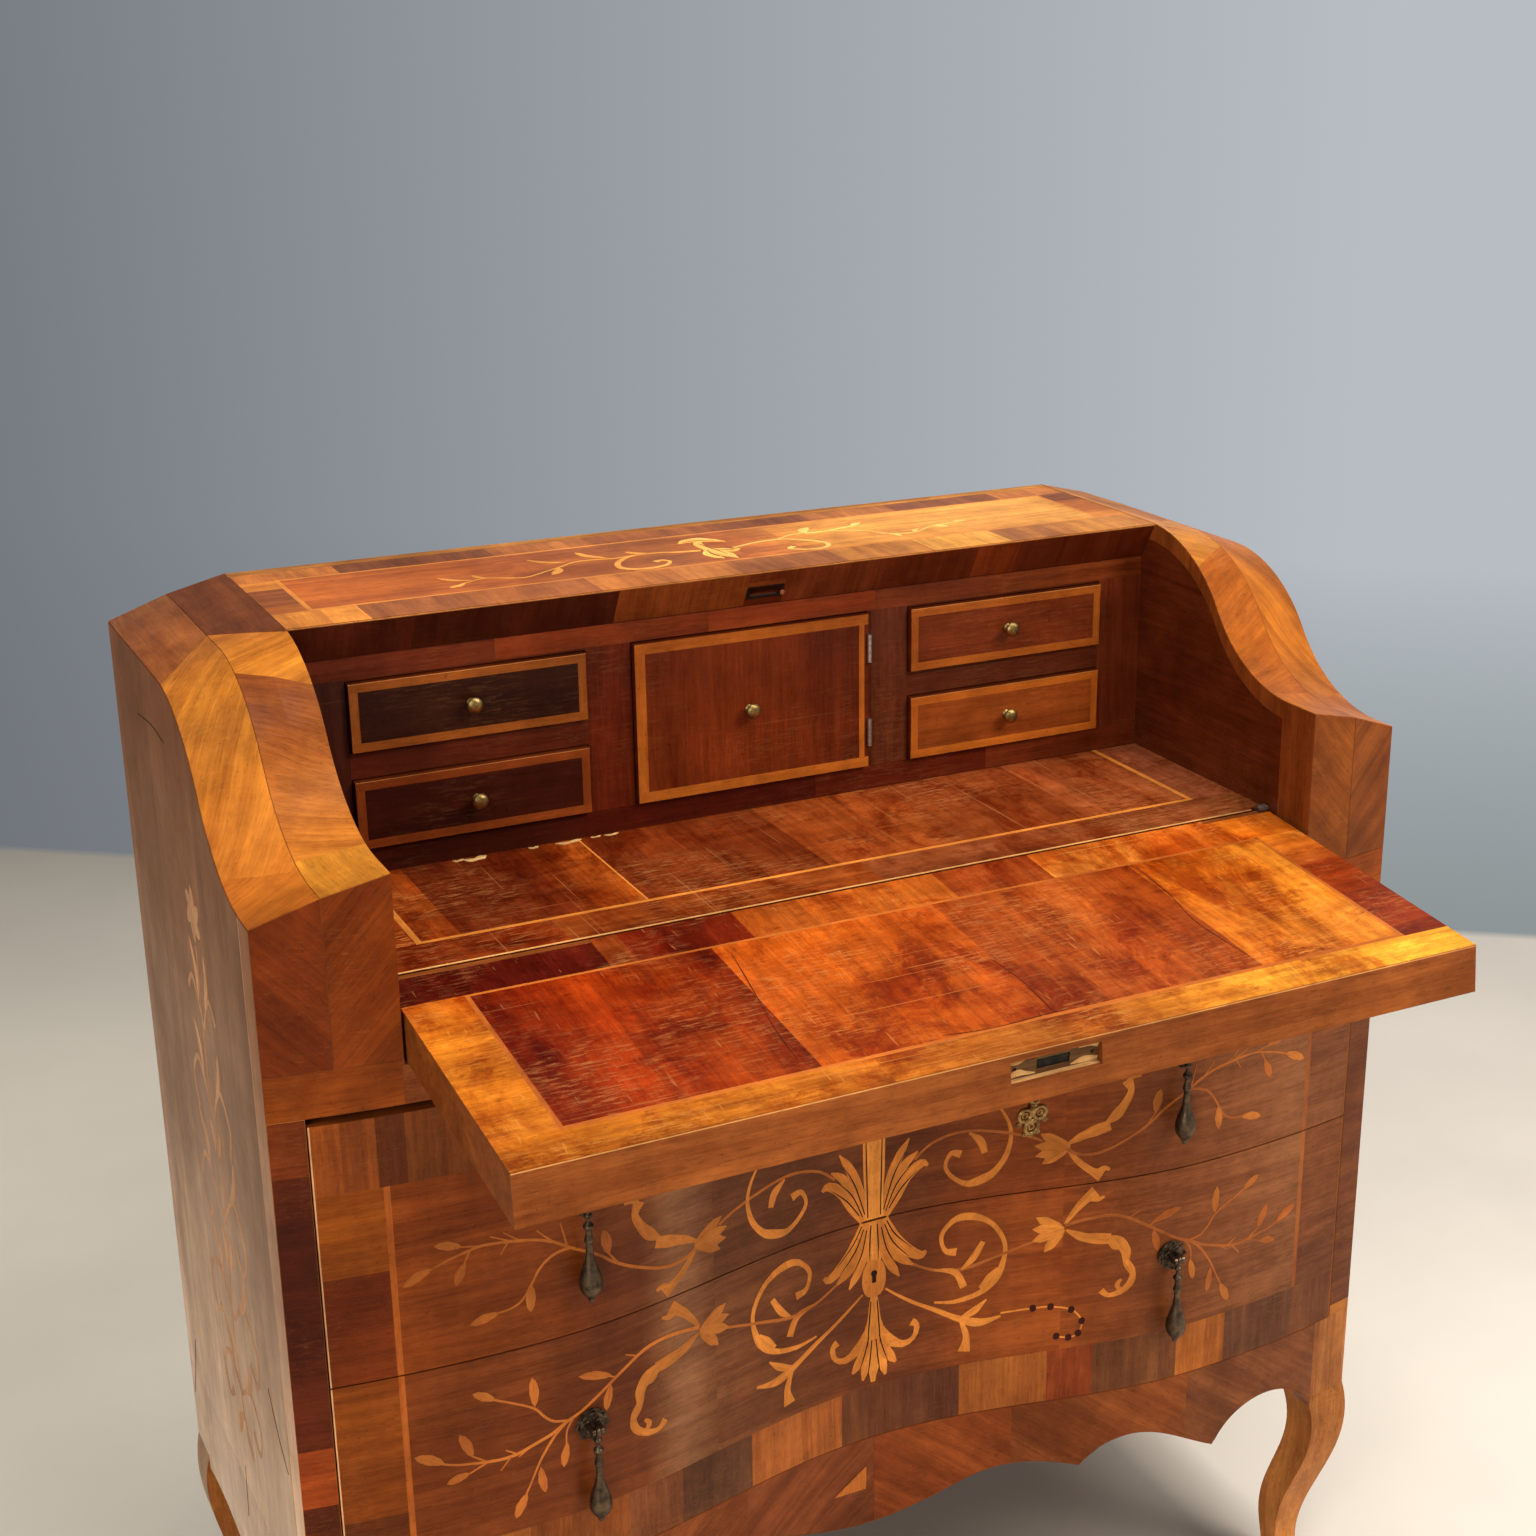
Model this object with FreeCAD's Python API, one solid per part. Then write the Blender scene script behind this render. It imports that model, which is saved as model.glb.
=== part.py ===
import FreeCAD, Part
import math
import os

# Writing desk with a drop front, millimetres, +Z up, floor at z = 0.
# The model is laid out with x = 0 on the centre line and y = 0 on the pivot line of the fall;
# the front faces -Y. The finished pieces are shifted so that the origin is the centre of the footprint.

# Overall sizes
case_width = 1000.0
bed_height = 810.0          # writing surface above the floor
bed_depth = 209.5           # pivot line to the face of the small drawer gallery
gallery_height = 185.0      # writing surface to the underside of the fascia
fascia_height = 33.5        # underside of the fascia to the top surface
case_back = 392.0           # pivot line to the back of the case

# Serpentine front, in plan
crest_reach = 62.5          # forward reach of the two swellings
swell_depth = 47.0          # how far the hollow middle lies behind the crests
crest_place = 310.0         # distance of each crest from the centre line
end_return = 19.0           # how far the outer corners fall back from the crests

# Board thicknesses
side_thickness = 18.0
cheek_thickness = 14.0
cap_thickness = 16.0
top_thickness = 16.0
back_thickness = 14.0
bed_thickness = 20.0
front_thickness = 22.0      # long drawer fronts and front apron
box_thickness = 12.0        # long drawer sides and backs
bottom_thickness = 8.0
divider_thickness = 10.0
floor_thickness = 12.0      # bottom board of the case
deck_thickness = 15.0       # board over the upper long drawer
frame_thickness = 12.0      # gallery face frame
small_thickness = 14.0      # small drawer fronts and door
small_box_thickness = 6.0
partition_thickness = 8.0

# Arms
arm_width = 98.2
arm_mid_drop = 12.0         # fall of the top surface at the middle of an arm
arm_edge_drop = 29.5        # fall of the top surface at the outer edge of an arm
ogee_start = 200.0          # where the curve leaves the level top, behind the pivot line
ogee_end = 22.0             # where the curve runs level again, in front of the pivot line
block_height = 102.5        # writing surface to the top of the front block
block_back = 14.0           # pivot line to the back of the front block

# Front rail, long drawers and lower frame
rail_drop = 39.4            # writing surface to the top of the rail
rail_height = 35.6
rail_back = 20.0
post_width = 26.3
lower_drawer_height = 214.6  # apron to the joint of the long drawers
apron_top = 298.0
joint_gap = 1.2             # gap around each drawer front and the door
upper_front_gap = 6.5       # front rail to the top of the upper long drawer's front
slide_gap = 0.6             # gap under and beside the drawer boxes
seam_gap = 0.2              # glue line behind the curved drawer fronts and the apron
long_box_headroom = 20.0
long_box_back_gap = 16.0
guide_height = 22.0
bearer_width = 20.0

# Scalloped front apron, right half: distance from the centre line and drop below the apron's top
centre_scroll = ((0.0, 88.0), (40.0, 83.2), (70.0, 74.5), (100.0, 64.0), (129.0, 60.0), (160.0, 63.5),
                 (194.0, 74.0))
inner_arch = ((194.0, 74.0), (222.0, 54.5), (248.0, 51.0), (290.0, 65.0), (332.6, 88.0))
end_arch_drop = 53.0
end_spring_drop = 93.0

# Arched lower edge of the sides, as drops below the apron's top
side_spring_drop = 95.0
side_arch_drop = 89.0
side_middle_drop = 104.0

# Curved legs: heights, how far the outer corner lies inside the corner of the case, and widths
leg_block = 45.0
block_low = 216.0
knee_height = 188.0
knee_inset = -3.5
knee_width = 41.0
calf_height = 127.0
calf_inset = 4.5
calf_width = 36.0
shin_height = 85.0
shin_inset = 16.5
shin_width = 33.0
ankle_height = 37.0
ankle_inset = 24.3
ankle_width = 25.5
foot_inset = 19.5
foot_width = 28.0

# Fall, its pivots, lock and key
fall_thickness = 38.0
fall_gap = 2.75             # between each end of the fall and the arm
fall_droop = 5.57           # degrees that the open fall slopes down to the front
fall_rear_gap = 1.5         # pivot line to the rear edge of the fall's inner face
fall_rear_slope = 4.5       # how much further back the inner face reaches than the outer face
fall_edge_gap = 0.8         # closed fall to fascia
rail_seat_gap = 0.3         # open fall to rail
bed_front_gap = 1.0
pivot_pin_diameter = 5.0
pivot_pin_seat = 13.0       # length of the pin that is let into the cheek
pivot_running_gap = 0.05
eye_diameter = 9.0
eye_width = 9.0
eye_shank_diameter = 4.0
eye_shank_slope = 35.0      # degrees that the shank slopes into the fall
eye_shank_length = 34.0
shank_gap = 0.1
eye_room = 1.2              # room around each eye in the fall and in the bed
lock_side = 9.5             # centre line to the middle of the lock
key_side = 12.0             # centre line to the key
lock_centre_depth = 14.4    # inner face of the fall to the middle of the lock
lock_recess_width = 77.0
lock_recess_height = 17.0
lock_recess_depth = 3.0
lock_width = 50.0
lock_height = 9.0
lock_depth = 42.0
lock_wall = 1.2
lock_gap = 0.2
bolt_width = 26.0
bolt_length = 24.0
bolt_gap = 0.3
bolt_throw = 11.0
key_set_back = 24.0         # outer edge of the lock to the key's axis
key_shank_diameter = 6.0
key_hole_gap = 0.4
key_reach = 56.0            # outer face of the fall to the tip of the bow
key_bow_width = 27.0
key_bow_height = 29.0
key_bow_thickness = 4.0
key_collar_diameter = 10.0
key_collar_length = 4.0
strike_width = 34.0
strike_height = 14.0
strike_thickness = 1.5

# Gallery of small drawers around a centre door
door_bottom = 23.8          # writing surface to the door
door_headroom = 20.1        # door to the underside of the fascia
small_width = 200.2
inner_stile = 43.0          # between the door and the small drawers
outer_stile = 47.8          # between the small drawers and the arms
lower_small_bottom = 23.8   # writing surface to the lower small drawers
small_middle_rail = 24.8    # between the lower and the upper small drawers
small_headroom = 21.4       # upper small drawers to the underside of the fascia
gallery_rebate = 3.0        # how deep the gallery is let into the bed
small_proud = 5.3           # how far small fronts and door stand in front of the face frame
small_back_gap = 6.0
fascia_depth = 16.0         # how far the fascia rail reaches behind the face frame
shelf_thickness = 8.0
door_knob_side = -6.0
knob_diameter = 13.6
knob_collar_diameter = 8.4
knob_length = 13.0
knob_neck_diameter = 5.0
hinge_barrel_diameter = 4.6
hinge_barrel_length = 24.0
hinge_leaf_width = 12.0
hinge_leaf_thickness = 1.2
hinge_set_in = 31.75        # ends of the door to the middle of each hinge
hinge_pin_diameter = 2.4
hinge_running_gap = 0.05
hinge_knuckle_gap = 0.3
hinge_barrel_gap = 0.3

# Pendant pulls and the lower drawer's lock
pull_place = 275.0
upper_pull_lift = 3.2       # middle of the drawer's height to its pulls
lower_pull_lift = 22.7
rosette_diameter = 26.0
rosette_thickness = 4.5
rosette_post_length = 9.0
pull_pivot_diameter = 3.6
pull_ring_diameter = 9.0
pull_ring_width = 4.0
pull_running_gap = 0.06
pull_ear_gap = 0.4
pull_ear_width = 2.6
pull_ear_diameter = 6.0
drop_length = 84.0
drop_diameter = 17.0
drop_neck_diameter = 6.4
keyhole_set_down = 51.6     # joint of the long drawers to the keyhole
keyhole_diameter = 5.0
keyhole_drop = 9.0
keyhole_slot_width = 2.6
drawer_lock_width = 52.0
drawer_lock_height = 62.0
drawer_lock_depth = 12.0
lock_seat_depth = 1.5
drawer_bolt_width = 24.0
drawer_bolt_height = 26.0

# Values worked out from the sizes above
half_width = case_width / 2
inner_half = half_width - arm_width
top_rise = gallery_height + fascia_height
top_height = bed_height + top_rise
fascia_bottom = bed_height + gallery_height
board_front = case_back - back_thickness
rail_top = bed_height - rail_drop
rail_bottom = rail_top - rail_height
drawer_split = apron_top + lower_drawer_height
upper_pull_height = (drawer_split + rail_bottom) / 2 + upper_pull_lift
lower_pull_height = (apron_top + drawer_split) / 2 + lower_pull_lift
keyhole_height = drawer_split - keyhole_set_down
closed_angle = math.atan2(gallery_height, bed_depth)
fascia_top_y = (top_rise * math.cos(closed_angle) - fall_thickness) / math.sin(closed_angle)
fall_length = math.hypot(bed_depth, gallery_height) - fall_edge_gap
fall_lip = (fascia_top_y * math.cos(closed_angle) + top_rise * math.sin(closed_angle)
            - fall_edge_gap - fall_length)
fall_half = inner_half - fall_gap
droop = math.radians(fall_droop)
fall_tip_y = -(fall_length + fall_lip) * math.cos(droop) + fall_thickness * math.sin(droop)
origin_y = (fall_tip_y + case_back) / 2
post_inner = half_width - post_width
front_half = post_inner - joint_gap
box_half = front_half - slide_gap
post_back = end_return - crest_reach + leg_block
rear_leg_front = case_back - leg_block
frame_front = bed_depth + bed_front_gap
frame_back = frame_front + frame_thickness
fascia_back = frame_back + fascia_depth
small_front = frame_front - small_proud
door_height = gallery_height - door_bottom - door_headroom
small_height = (gallery_height - lower_small_bottom - small_middle_rail - small_headroom) / 2
upper_small_bottom = lower_small_bottom + small_height + small_middle_rail
hinge_lower = door_bottom + hinge_set_in
hinge_upper = door_bottom + door_height - hinge_set_in
small_outer_edge = inner_half - outer_stile
small_inner_edge = small_outer_edge - small_width
door_width = 2 * (small_inner_edge - inner_stile)
small_box_back = board_front - small_back_gap
gallery_floor_top = bed_height + lower_small_bottom - joint_gap
partition_inner = small_inner_edge - joint_gap - partition_thickness
partition_outer = small_outer_edge + joint_gap
door_pivot_x = door_width / 2 + joint_gap / 2
door_pivot_y = small_front - hinge_barrel_diameter / 2 + hinge_leaf_thickness
pull_pivot_reach = rosette_thickness + rosette_post_length
lock_front = fall_length - lock_recess_depth
key_y = key_set_back - lock_front
panel_inner = half_width - side_thickness
leg_inner = half_width - leg_block
curve_steps = 24
reach_over = case_width


def vec(x, y, z):
    return FreeCAD.Vector(x, y, z)


def box(x0, x1, y0, y1, z0, z1):
    return Part.makeBox(x1 - x0, y1 - y0, z1 - z0, vec(x0, y0, z0))


def mirrored(shape):
    return shape.mirror(vec(0, 0, 0), vec(1, 0, 0))


def rod(start, along, diameter, length):
    return Part.makeCylinder(diameter / 2, length, start, along)


def front_y(x):
    """Plan of the serpentine front: hollow in the middle, a crest on each side, ends falling back."""
    place = abs(x)
    if place <= crest_place:
        return -crest_reach + swell_depth / 2 * (1 + math.cos(math.pi * place / crest_place))
    return -crest_reach + end_return * ((place - crest_place) / (half_width - crest_place)) ** 2


def front_curve(x0, x1, shift):
    """Edge along the serpentine from x0 to x1, moved back by shift."""
    points = []
    for step in range(curve_steps + 1):
        x = x0 + (x1 - x0) * step / curve_steps
        points.append(vec(x, front_y(x) + shift, 0))
    curve = Part.BSplineCurve()
    curve.interpolate(points)
    return curve.toShape()


def line(a, b):
    return Part.makeLine(a, b)


def arc(a, b, c):
    return Part.Arc(a, b, c).toShape()


def extruded(edges, along):
    return Part.Face(Part.Wire(edges)).extrude(along)


def serpentine_board(x0, x1, shift, back, z0, z1):
    """Board with the serpentine as its front edge and a straight back edge."""
    front = front_curve(x0, x1, shift)
    left = vec(x0, front_y(x0) + shift, 0)
    right = vec(x1, front_y(x1) + shift, 0)
    edges = [front, line(right, vec(x1, back, 0)), line(vec(x1, back, 0), vec(x0, back, 0)),
             line(vec(x0, back, 0), left)]
    solid = extruded(edges, vec(0, 0, z1 - z0))
    solid.translate(vec(0, 0, z0))
    return solid


def serpentine_strip(x0, x1, thickness, z0, z1):
    """Curved board of even thickness whose outer face is the serpentine front."""
    front = front_curve(x0, x1, 0)
    back = front_curve(x0, x1, thickness)
    ends = [line(vec(x, front_y(x), 0), vec(x, front_y(x) + thickness, 0)) for x in (x0, x1)]
    solid = extruded([front, ends[1], back, ends[0]], vec(0, 0, z1 - z0))
    solid.translate(vec(0, 0, z0))
    return solid


def lathe(profile, base, along):
    """Turned solid: profile is (distance along, radius) pairs joined by straight lines."""
    points = [vec(radius, 0, height) for height, radius in profile]
    points = [vec(0, 0, profile[0][0])] + points + [vec(0, 0, profile[-1][0])]
    face = Part.Face(Part.makePolygon(points + [points[0]]))
    return placed_turning(face.revolve(vec(0, 0, 0), vec(0, 0, 1), 360), base, along)


def smooth_lathe(profile, base, along):
    """Turned solid with a smooth outline through (distance along, radius) pairs."""
    points = [vec(radius, 0, height) for height, radius in profile]
    curve = Part.BSplineCurve()
    curve.interpolate(points)
    low = vec(0, 0, profile[0][0])
    high = vec(0, 0, profile[-1][0])
    edges = [line(low, points[0]), curve.toShape(), line(points[-1], high), line(high, low)]
    face = Part.Face(Part.Wire(edges))
    return placed_turning(face.revolve(vec(0, 0, 0), vec(0, 0, 1), 360), base, along)


def placed_turning(shape, base, along):
    shape = shape.copy()
    shape.Placement = FreeCAD.Placement(base, FreeCAD.Rotation(vec(0, 0, 1), along))
    return shape


# Arms and sides

def arm_section(x, drop, lowered, bottom):
    """Closed outline of an arm at one distance from the centre line."""
    high = top_height - drop - lowered
    low = bed_height + block_height - drop - lowered
    run = ogee_start + ogee_end
    radius = (run ** 2 + (high - low) ** 2) / (4 * (high - low))
    half_turn = math.asin(run / 2 / radius) / 2
    across = radius * math.sin(half_turn)
    rise = radius * (1 - math.cos(half_turn))
    front_low = vec(x, front_y(x), bottom)
    front_high = vec(x, front_y(x), low)
    ogee_low = vec(x, -ogee_end, low)
    lower_mid = vec(x, across - ogee_end, low + rise)
    ogee_mid = vec(x, (ogee_start - ogee_end) / 2, (high + low) / 2)
    upper_mid = vec(x, ogee_start - across, high - rise)
    ogee_high = vec(x, ogee_start, high)
    back_high = vec(x, case_back, high)
    back_low = vec(x, case_back, bottom)
    return Part.Wire([line(front_low, front_high), line(front_high, ogee_low),
                      arc(ogee_low, lower_mid, ogee_mid), arc(ogee_mid, upper_mid, ogee_high),
                      line(ogee_high, back_high), line(back_high, back_low), line(back_low, front_low)])


def arm_body(lowered, bottom):
    """Right arm as a full body: inner strip and outer strip meet along the middle of the arm."""
    places = ((inner_half, 0.0), (inner_half + arm_width / 2, arm_mid_drop), (half_width, arm_edge_drop))
    sections = [arm_section(x, drop, lowered, bottom) for x, drop in places]
    return Part.makeLoft(sections, True, True)


def arm():
    """Curved cap and front block of the right arm."""
    inside = arm_body(cap_thickness, rail_bottom)
    hollow = inside.common(box(inner_half, half_width, -block_back, case_back, rail_bottom, top_height))
    return arm_body(0.0, rail_top).cut(hollow)


def cheek():
    """Inner board of the right arm, with the seat of the pivot pin."""
    inside = arm_body(cap_thickness, rail_bottom)
    board = inside.common(box(inner_half, inner_half + cheek_thickness, -block_back, board_front,
                              rail_top, top_height))
    seat = rod(vec(inner_half, 0, bed_height), vec(1, 0, 0), pivot_pin_diameter, pivot_pin_seat)
    return board.cut(seat)


def side_panel():
    """Outer board of the right side, arched between the legs."""
    inside = arm_body(cap_thickness, 0.0)
    board = inside.common(box(panel_inner, half_width, -block_back, case_back, 0, top_height))
    post = box(panel_inner, half_width, -block_back, post_back, 0, rail_top)
    rear_block = box(panel_inner, half_width, rear_leg_front, case_back, 0, apron_top - floor_thickness)
    return board.cut(post).cut(rear_block).cut(side_arch())


def side_arch():
    """Room under the arched lower edge of a side."""
    middle = (post_back + rear_leg_front) / 2
    quarter = (rear_leg_front - post_back) / 4
    places = ((post_back, side_spring_drop), (middle - quarter, side_arch_drop), (middle, side_middle_drop),
              (middle + quarter, side_arch_drop), (rear_leg_front, side_spring_drop))
    points = [vec(panel_inner, y, apron_top - drop) for y, drop in places]
    front_low = vec(panel_inner, post_back, 0)
    rear_low = vec(panel_inner, rear_leg_front, 0)
    edges = [arc(*points[:3]), arc(*points[2:]), line(points[4], rear_low), line(rear_low, front_low),
             line(front_low, points[0])]
    return extruded(edges, vec(side_thickness, 0, 0))


# Legs and lower frame

def leg_square(height, inset, width):
    """Square section of a front leg, set in from the corner of the case along the diagonal."""
    corner_x = half_width - inset
    corner_y = front_y(half_width) + inset
    points = [vec(corner_x, corner_y, height), vec(corner_x, corner_y + width, height),
              vec(corner_x - width, corner_y + width, height), vec(corner_x - width, corner_y, height)]
    return Part.makePolygon(points + [points[0]])


def curved_leg():
    """Right front leg below its block: out at the knee, in at the ankle, out again at the foot."""
    squares = ((block_low, 0.0, leg_block), (knee_height, knee_inset, knee_width),
               (calf_height, calf_inset, calf_width), (shin_height, shin_inset, shin_width),
               (ankle_height, ankle_inset, ankle_width), (0.0, foot_inset, foot_width))
    return Part.makeLoft([leg_square(*square) for square in squares], True, False)


def front_leg():
    """Right front leg with its block and the corner post above it, in one piece."""
    block = serpentine_board(leg_inner, half_width, 0, post_back, block_low, apron_top)
    post = serpentine_board(post_inner, half_width, 0, post_back, apron_top, rail_bottom)
    return curved_leg().fuse(block).fuse(post).removeSplitter()


def rear_leg():
    """Right rear leg, flat at the back so that the case stands close to a wall."""
    turned = curved_leg().mirror(vec(0, (front_y(half_width) + case_back) / 2, 0), vec(0, 1, 0))
    wall = box(0, case_width, case_back, case_back + leg_block, 0, apron_top)
    block = box(leg_inner, half_width, rear_leg_front, case_back, block_low, apron_top - floor_thickness)
    return turned.cut(wall).fuse(block).removeSplitter()


def apron_outline(side):
    """Edges of one half of the apron's lower edge, from the middle to the leg."""
    edges = []
    for half in (centre_scroll, inner_arch):
        curve = Part.BSplineCurve()
        curve.interpolate([vec(side * x, 0, apron_top - drop) for x, drop in half])
        edges.append(curve.toShape())
    last, last_drop = inner_arch[-1]
    spring = vec(side * leg_inner, 0, apron_top - end_spring_drop)
    edges.append(arc(vec(side * last, 0, apron_top - last_drop),
                     vec(side * (last + leg_inner) / 2, 0, apron_top - end_arch_drop), spring))
    edges.append(line(spring, vec(side * leg_inner, 0, apron_top)))
    return edges


def front_apron():
    """Serpentine apron with a scalloped lower edge."""
    low = apron_top - leg_block - end_spring_drop
    board = serpentine_strip(-leg_inner, leg_inner, front_thickness, low, apron_top)
    edges = apron_outline(1) + apron_outline(-1)
    edges.append(line(vec(leg_inner, 0, apron_top), vec(-leg_inner, 0, apron_top)))
    outline = extruded(Part.__sortEdges__(edges), vec(0, 2 * reach_over, 0))
    outline.translate(vec(0, -reach_over, 0))
    return board.common(outline)


def front_rail():
    """Full-width rail under the blocks; its top slopes where the open fall rests on it."""
    rail = serpentine_board(-half_width, half_width, 0, rail_back, rail_bottom, rail_top)
    end = box(panel_inner, half_width, post_back, rail_back, rail_bottom, rail_top)
    fall_room = box(-inner_half, inner_half, -reach_over, reach_over,
                    -fall_thickness - rail_seat_gap, reach_over)
    return rail.cut(end).cut(mirrored(end)).cut(opened(fall_room))


def upper_deck():
    """Board over the upper long drawer that carries the cheeks and the bed's bearers."""
    return box(-panel_inner, panel_inner, rail_back, board_front, rail_top - deck_thickness, rail_top)


def drawer_divider():
    """Board between the long drawers, with a mortise for the lower drawer's bolt."""
    low = drawer_split - divider_thickness / 2
    high = low + divider_thickness
    board = serpentine_board(-panel_inner, panel_inner, front_thickness + joint_gap, board_front, low, high)
    post_room = box(post_inner, half_width, -crest_reach, post_back, low, high)
    half = drawer_bolt_width / 2 + bolt_gap
    seat = drawer_lock_seat()
    mortise = box(-half, half, seat, seat + drawer_lock_depth, low, high)
    return board.cut(post_room).cut(mirrored(post_room)).cut(mortise)


def case_bottom():
    board = serpentine_board(-panel_inner, panel_inner, front_thickness + seam_gap, board_front,
                             apron_top - floor_thickness, apron_top)
    block = box(leg_inner, half_width, -crest_reach, post_back, 0, apron_top)
    return board.cut(block).cut(mirrored(block))


def case_runners():
    """Drawer guides on the case sides, and the bearers that carry the bed."""
    right = []
    for low in (apron_top, drawer_split + divider_thickness / 2):
        right.append(box(box_half + slide_gap, panel_inner, post_back, board_front, low, low + guide_height))
    right.append(box(inner_half - bearer_width, inner_half, rail_back, board_front,
                     rail_top, bed_height - bed_thickness))
    return Part.makeCompound(right + [mirrored(piece) for piece in right])


def back_board():
    """Back of the case, up to the caps at its ends; its top edge shows behind the top board."""
    low = apron_top - floor_thickness
    board = box(-inner_half, inner_half, board_front, case_back, low, top_height)
    end = box(inner_half, panel_inner, board_front, case_back, low, top_height)
    end = end.common(arm_body(cap_thickness, low))
    return board.fuse(end).fuse(mirrored(end)).removeSplitter()


# Top, bed and gallery

def fascia_y(height):
    """Depth of the sloping fascia at a height; the closed fall meets it."""
    share = (height - fascia_bottom) / (top_height - fascia_bottom)
    return bed_depth + share * (fascia_top_y - bed_depth)


def sloped_board(low, high, back):
    points = [vec(-inner_half, fascia_y(low), low), vec(-inner_half, fascia_y(high), high),
              vec(-inner_half, back, high), vec(-inner_half, back, low)]
    return Part.Face(Part.makePolygon(points + [points[0]])).extrude(vec(2 * inner_half, 0, 0))


def top_board():
    board = sloped_board(top_height - top_thickness, top_height, board_front)
    return board.cut(strike_plate()).cut(closed(strike_mortise()))


def fascia_rail():
    """Rail under the top board, with a seat and a mortise for the strike plate."""
    rail = sloped_board(fascia_bottom, top_height - top_thickness, fascia_back)
    return rail.cut(strike_plate()).cut(closed(strike_mortise()))


def strike_mortise():
    """Room for the thrown bolt, in the fall's own frame."""
    half = bolt_width / 2 + lock_wall
    high = lock_height / 2
    reach = fall_length + fall_edge_gap
    return box(lock_side - half, lock_side + half, -reach - fall_lip - bolt_throw, -reach + fall_lip,
               -lock_centre_depth - high, -lock_centre_depth + high)


def strike_plate():
    """Plate let in flush with the sloping fascia, pierced for the bolt."""
    reach = fall_length + fall_edge_gap
    left = lock_side - strike_width / 2
    corners = []
    for depth in (lock_centre_depth - strike_height / 2, lock_centre_depth + strike_height / 2):
        corners.append(vec(left, -reach - fall_lip * depth / fall_thickness, -depth))
    inward = vec(0, -strike_thickness, 0)
    points = [corners[0], corners[1], corners[1] + inward, corners[0] + inward]
    plate = Part.Face(Part.makePolygon(points + [points[0]])).extrude(vec(strike_width, 0, 0))
    return closed(plate.cut(strike_mortise()))


def writing_bed():
    """Fixed writing surface, stepped down under the gallery, with room for the pivot eyes."""
    board = box(-inner_half, inner_half, bed_front_gap, board_front, bed_height - bed_thickness, bed_height)
    step = box(-inner_half, inner_half, frame_front, board_front, bed_height - gallery_rebate, bed_height)
    room = box(inner_half - fall_gap - eye_width - eye_room, inner_half, 0, eye_diameter / 2 + eye_room,
               bed_height - bed_thickness, bed_height)
    return board.cut(step).cut(room).cut(mirrored(room))


def gallery_places():
    """Left, right, low and high edges of the five fronts in the gallery, above the bed."""
    places = {"door": (-door_width / 2, door_width / 2, door_bottom, door_bottom + door_height)}
    for row, low in (("upper", upper_small_bottom), ("lower", lower_small_bottom)):
        places[row + "_right"] = (small_inner_edge, small_outer_edge, low, low + small_height)
        places[row + "_left"] = (-small_outer_edge, -small_inner_edge, low, low + small_height)
    return places


def gallery_frame():
    """Face frame with an opening for each small drawer and for the door."""
    frame = box(-inner_half, inner_half, frame_front, frame_back, bed_height - gallery_rebate, fascia_bottom)
    for left, right, low, high in gallery_places().values():
        frame = frame.cut(box(left - joint_gap, right + joint_gap, frame_front, frame_back,
                              bed_height + low - joint_gap, bed_height + high + joint_gap))
    for middle in hinge_heights():
        frame = frame.cut(hinge_leaf(1, middle))
    return frame


def gallery_floor():
    low = bed_height - gallery_rebate
    return box(-inner_half, inner_half, frame_back, board_front, low, gallery_floor_top)


def gallery_partitions():
    """Upright boards beside the cupboard and beside the small drawers."""
    boards = []
    for left in (door_width / 2 + joint_gap, partition_inner, partition_outer):
        rear = box(left, left + partition_thickness, fascia_back, board_front,
                   gallery_floor_top, top_height - top_thickness)
        front = box(left, left + partition_thickness, frame_back, fascia_back,
                    gallery_floor_top, fascia_bottom)
        boards.append(rear.fuse(front).removeSplitter())
    return Part.makeCompound(boards + [mirrored(board) for board in boards])


def gallery_shelves():
    top = bed_height + upper_small_bottom - joint_gap
    shelf = box(partition_inner + partition_thickness, partition_outer, frame_back, board_front,
                top - shelf_thickness, top)
    return Part.makeCompound([shelf, mirrored(shelf)])


# Small drawers and door

def small_drawer_front(left, right, low, high):
    return box(left, right, small_front, small_front + small_thickness, bed_height + low, bed_height + high)


def small_drawer_box(left, right, low, high):
    """Sides, back and bottom of a small drawer as separate boards."""
    wall = small_box_thickness
    front = small_front + small_thickness
    floor = bed_height + low - joint_gap + slide_gap
    roof = bed_height + high - joint_gap
    boards = [box(left, left + wall, front, small_box_back, floor, roof),
              box(right - wall, right, front, small_box_back, floor, roof),
              box(left + wall, right - wall, small_box_back - wall, small_box_back, floor, roof),
              box(left + wall, right - wall, front, small_box_back - wall, floor, floor + wall)]
    return Part.makeCompound(boards)


def knob(x, height):
    """Turned knob standing on a small drawer front or on the door."""
    wide = knob_diameter / 2
    collar = knob_collar_diameter / 2
    neck = knob_neck_diameter / 2
    profile = ((0, collar), (knob_length * 0.12, collar), (knob_length * 0.18, neck),
               (knob_length * 0.43, neck), (knob_length * 0.55, wide * 0.85), (knob_length * 0.7, wide),
               (knob_length * 0.88, wide * 0.8), (knob_length, wide * 0.35))
    return lathe(profile, vec(x, small_front, bed_height + height), vec(0, -1, 0))


def hinge_heights():
    return (bed_height + hinge_lower, bed_height + hinge_upper)


def hinge_rod(diameter, low, high):
    return rod(vec(door_pivot_x, door_pivot_y, low), vec(0, 0, 1), diameter, high - low)


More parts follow.
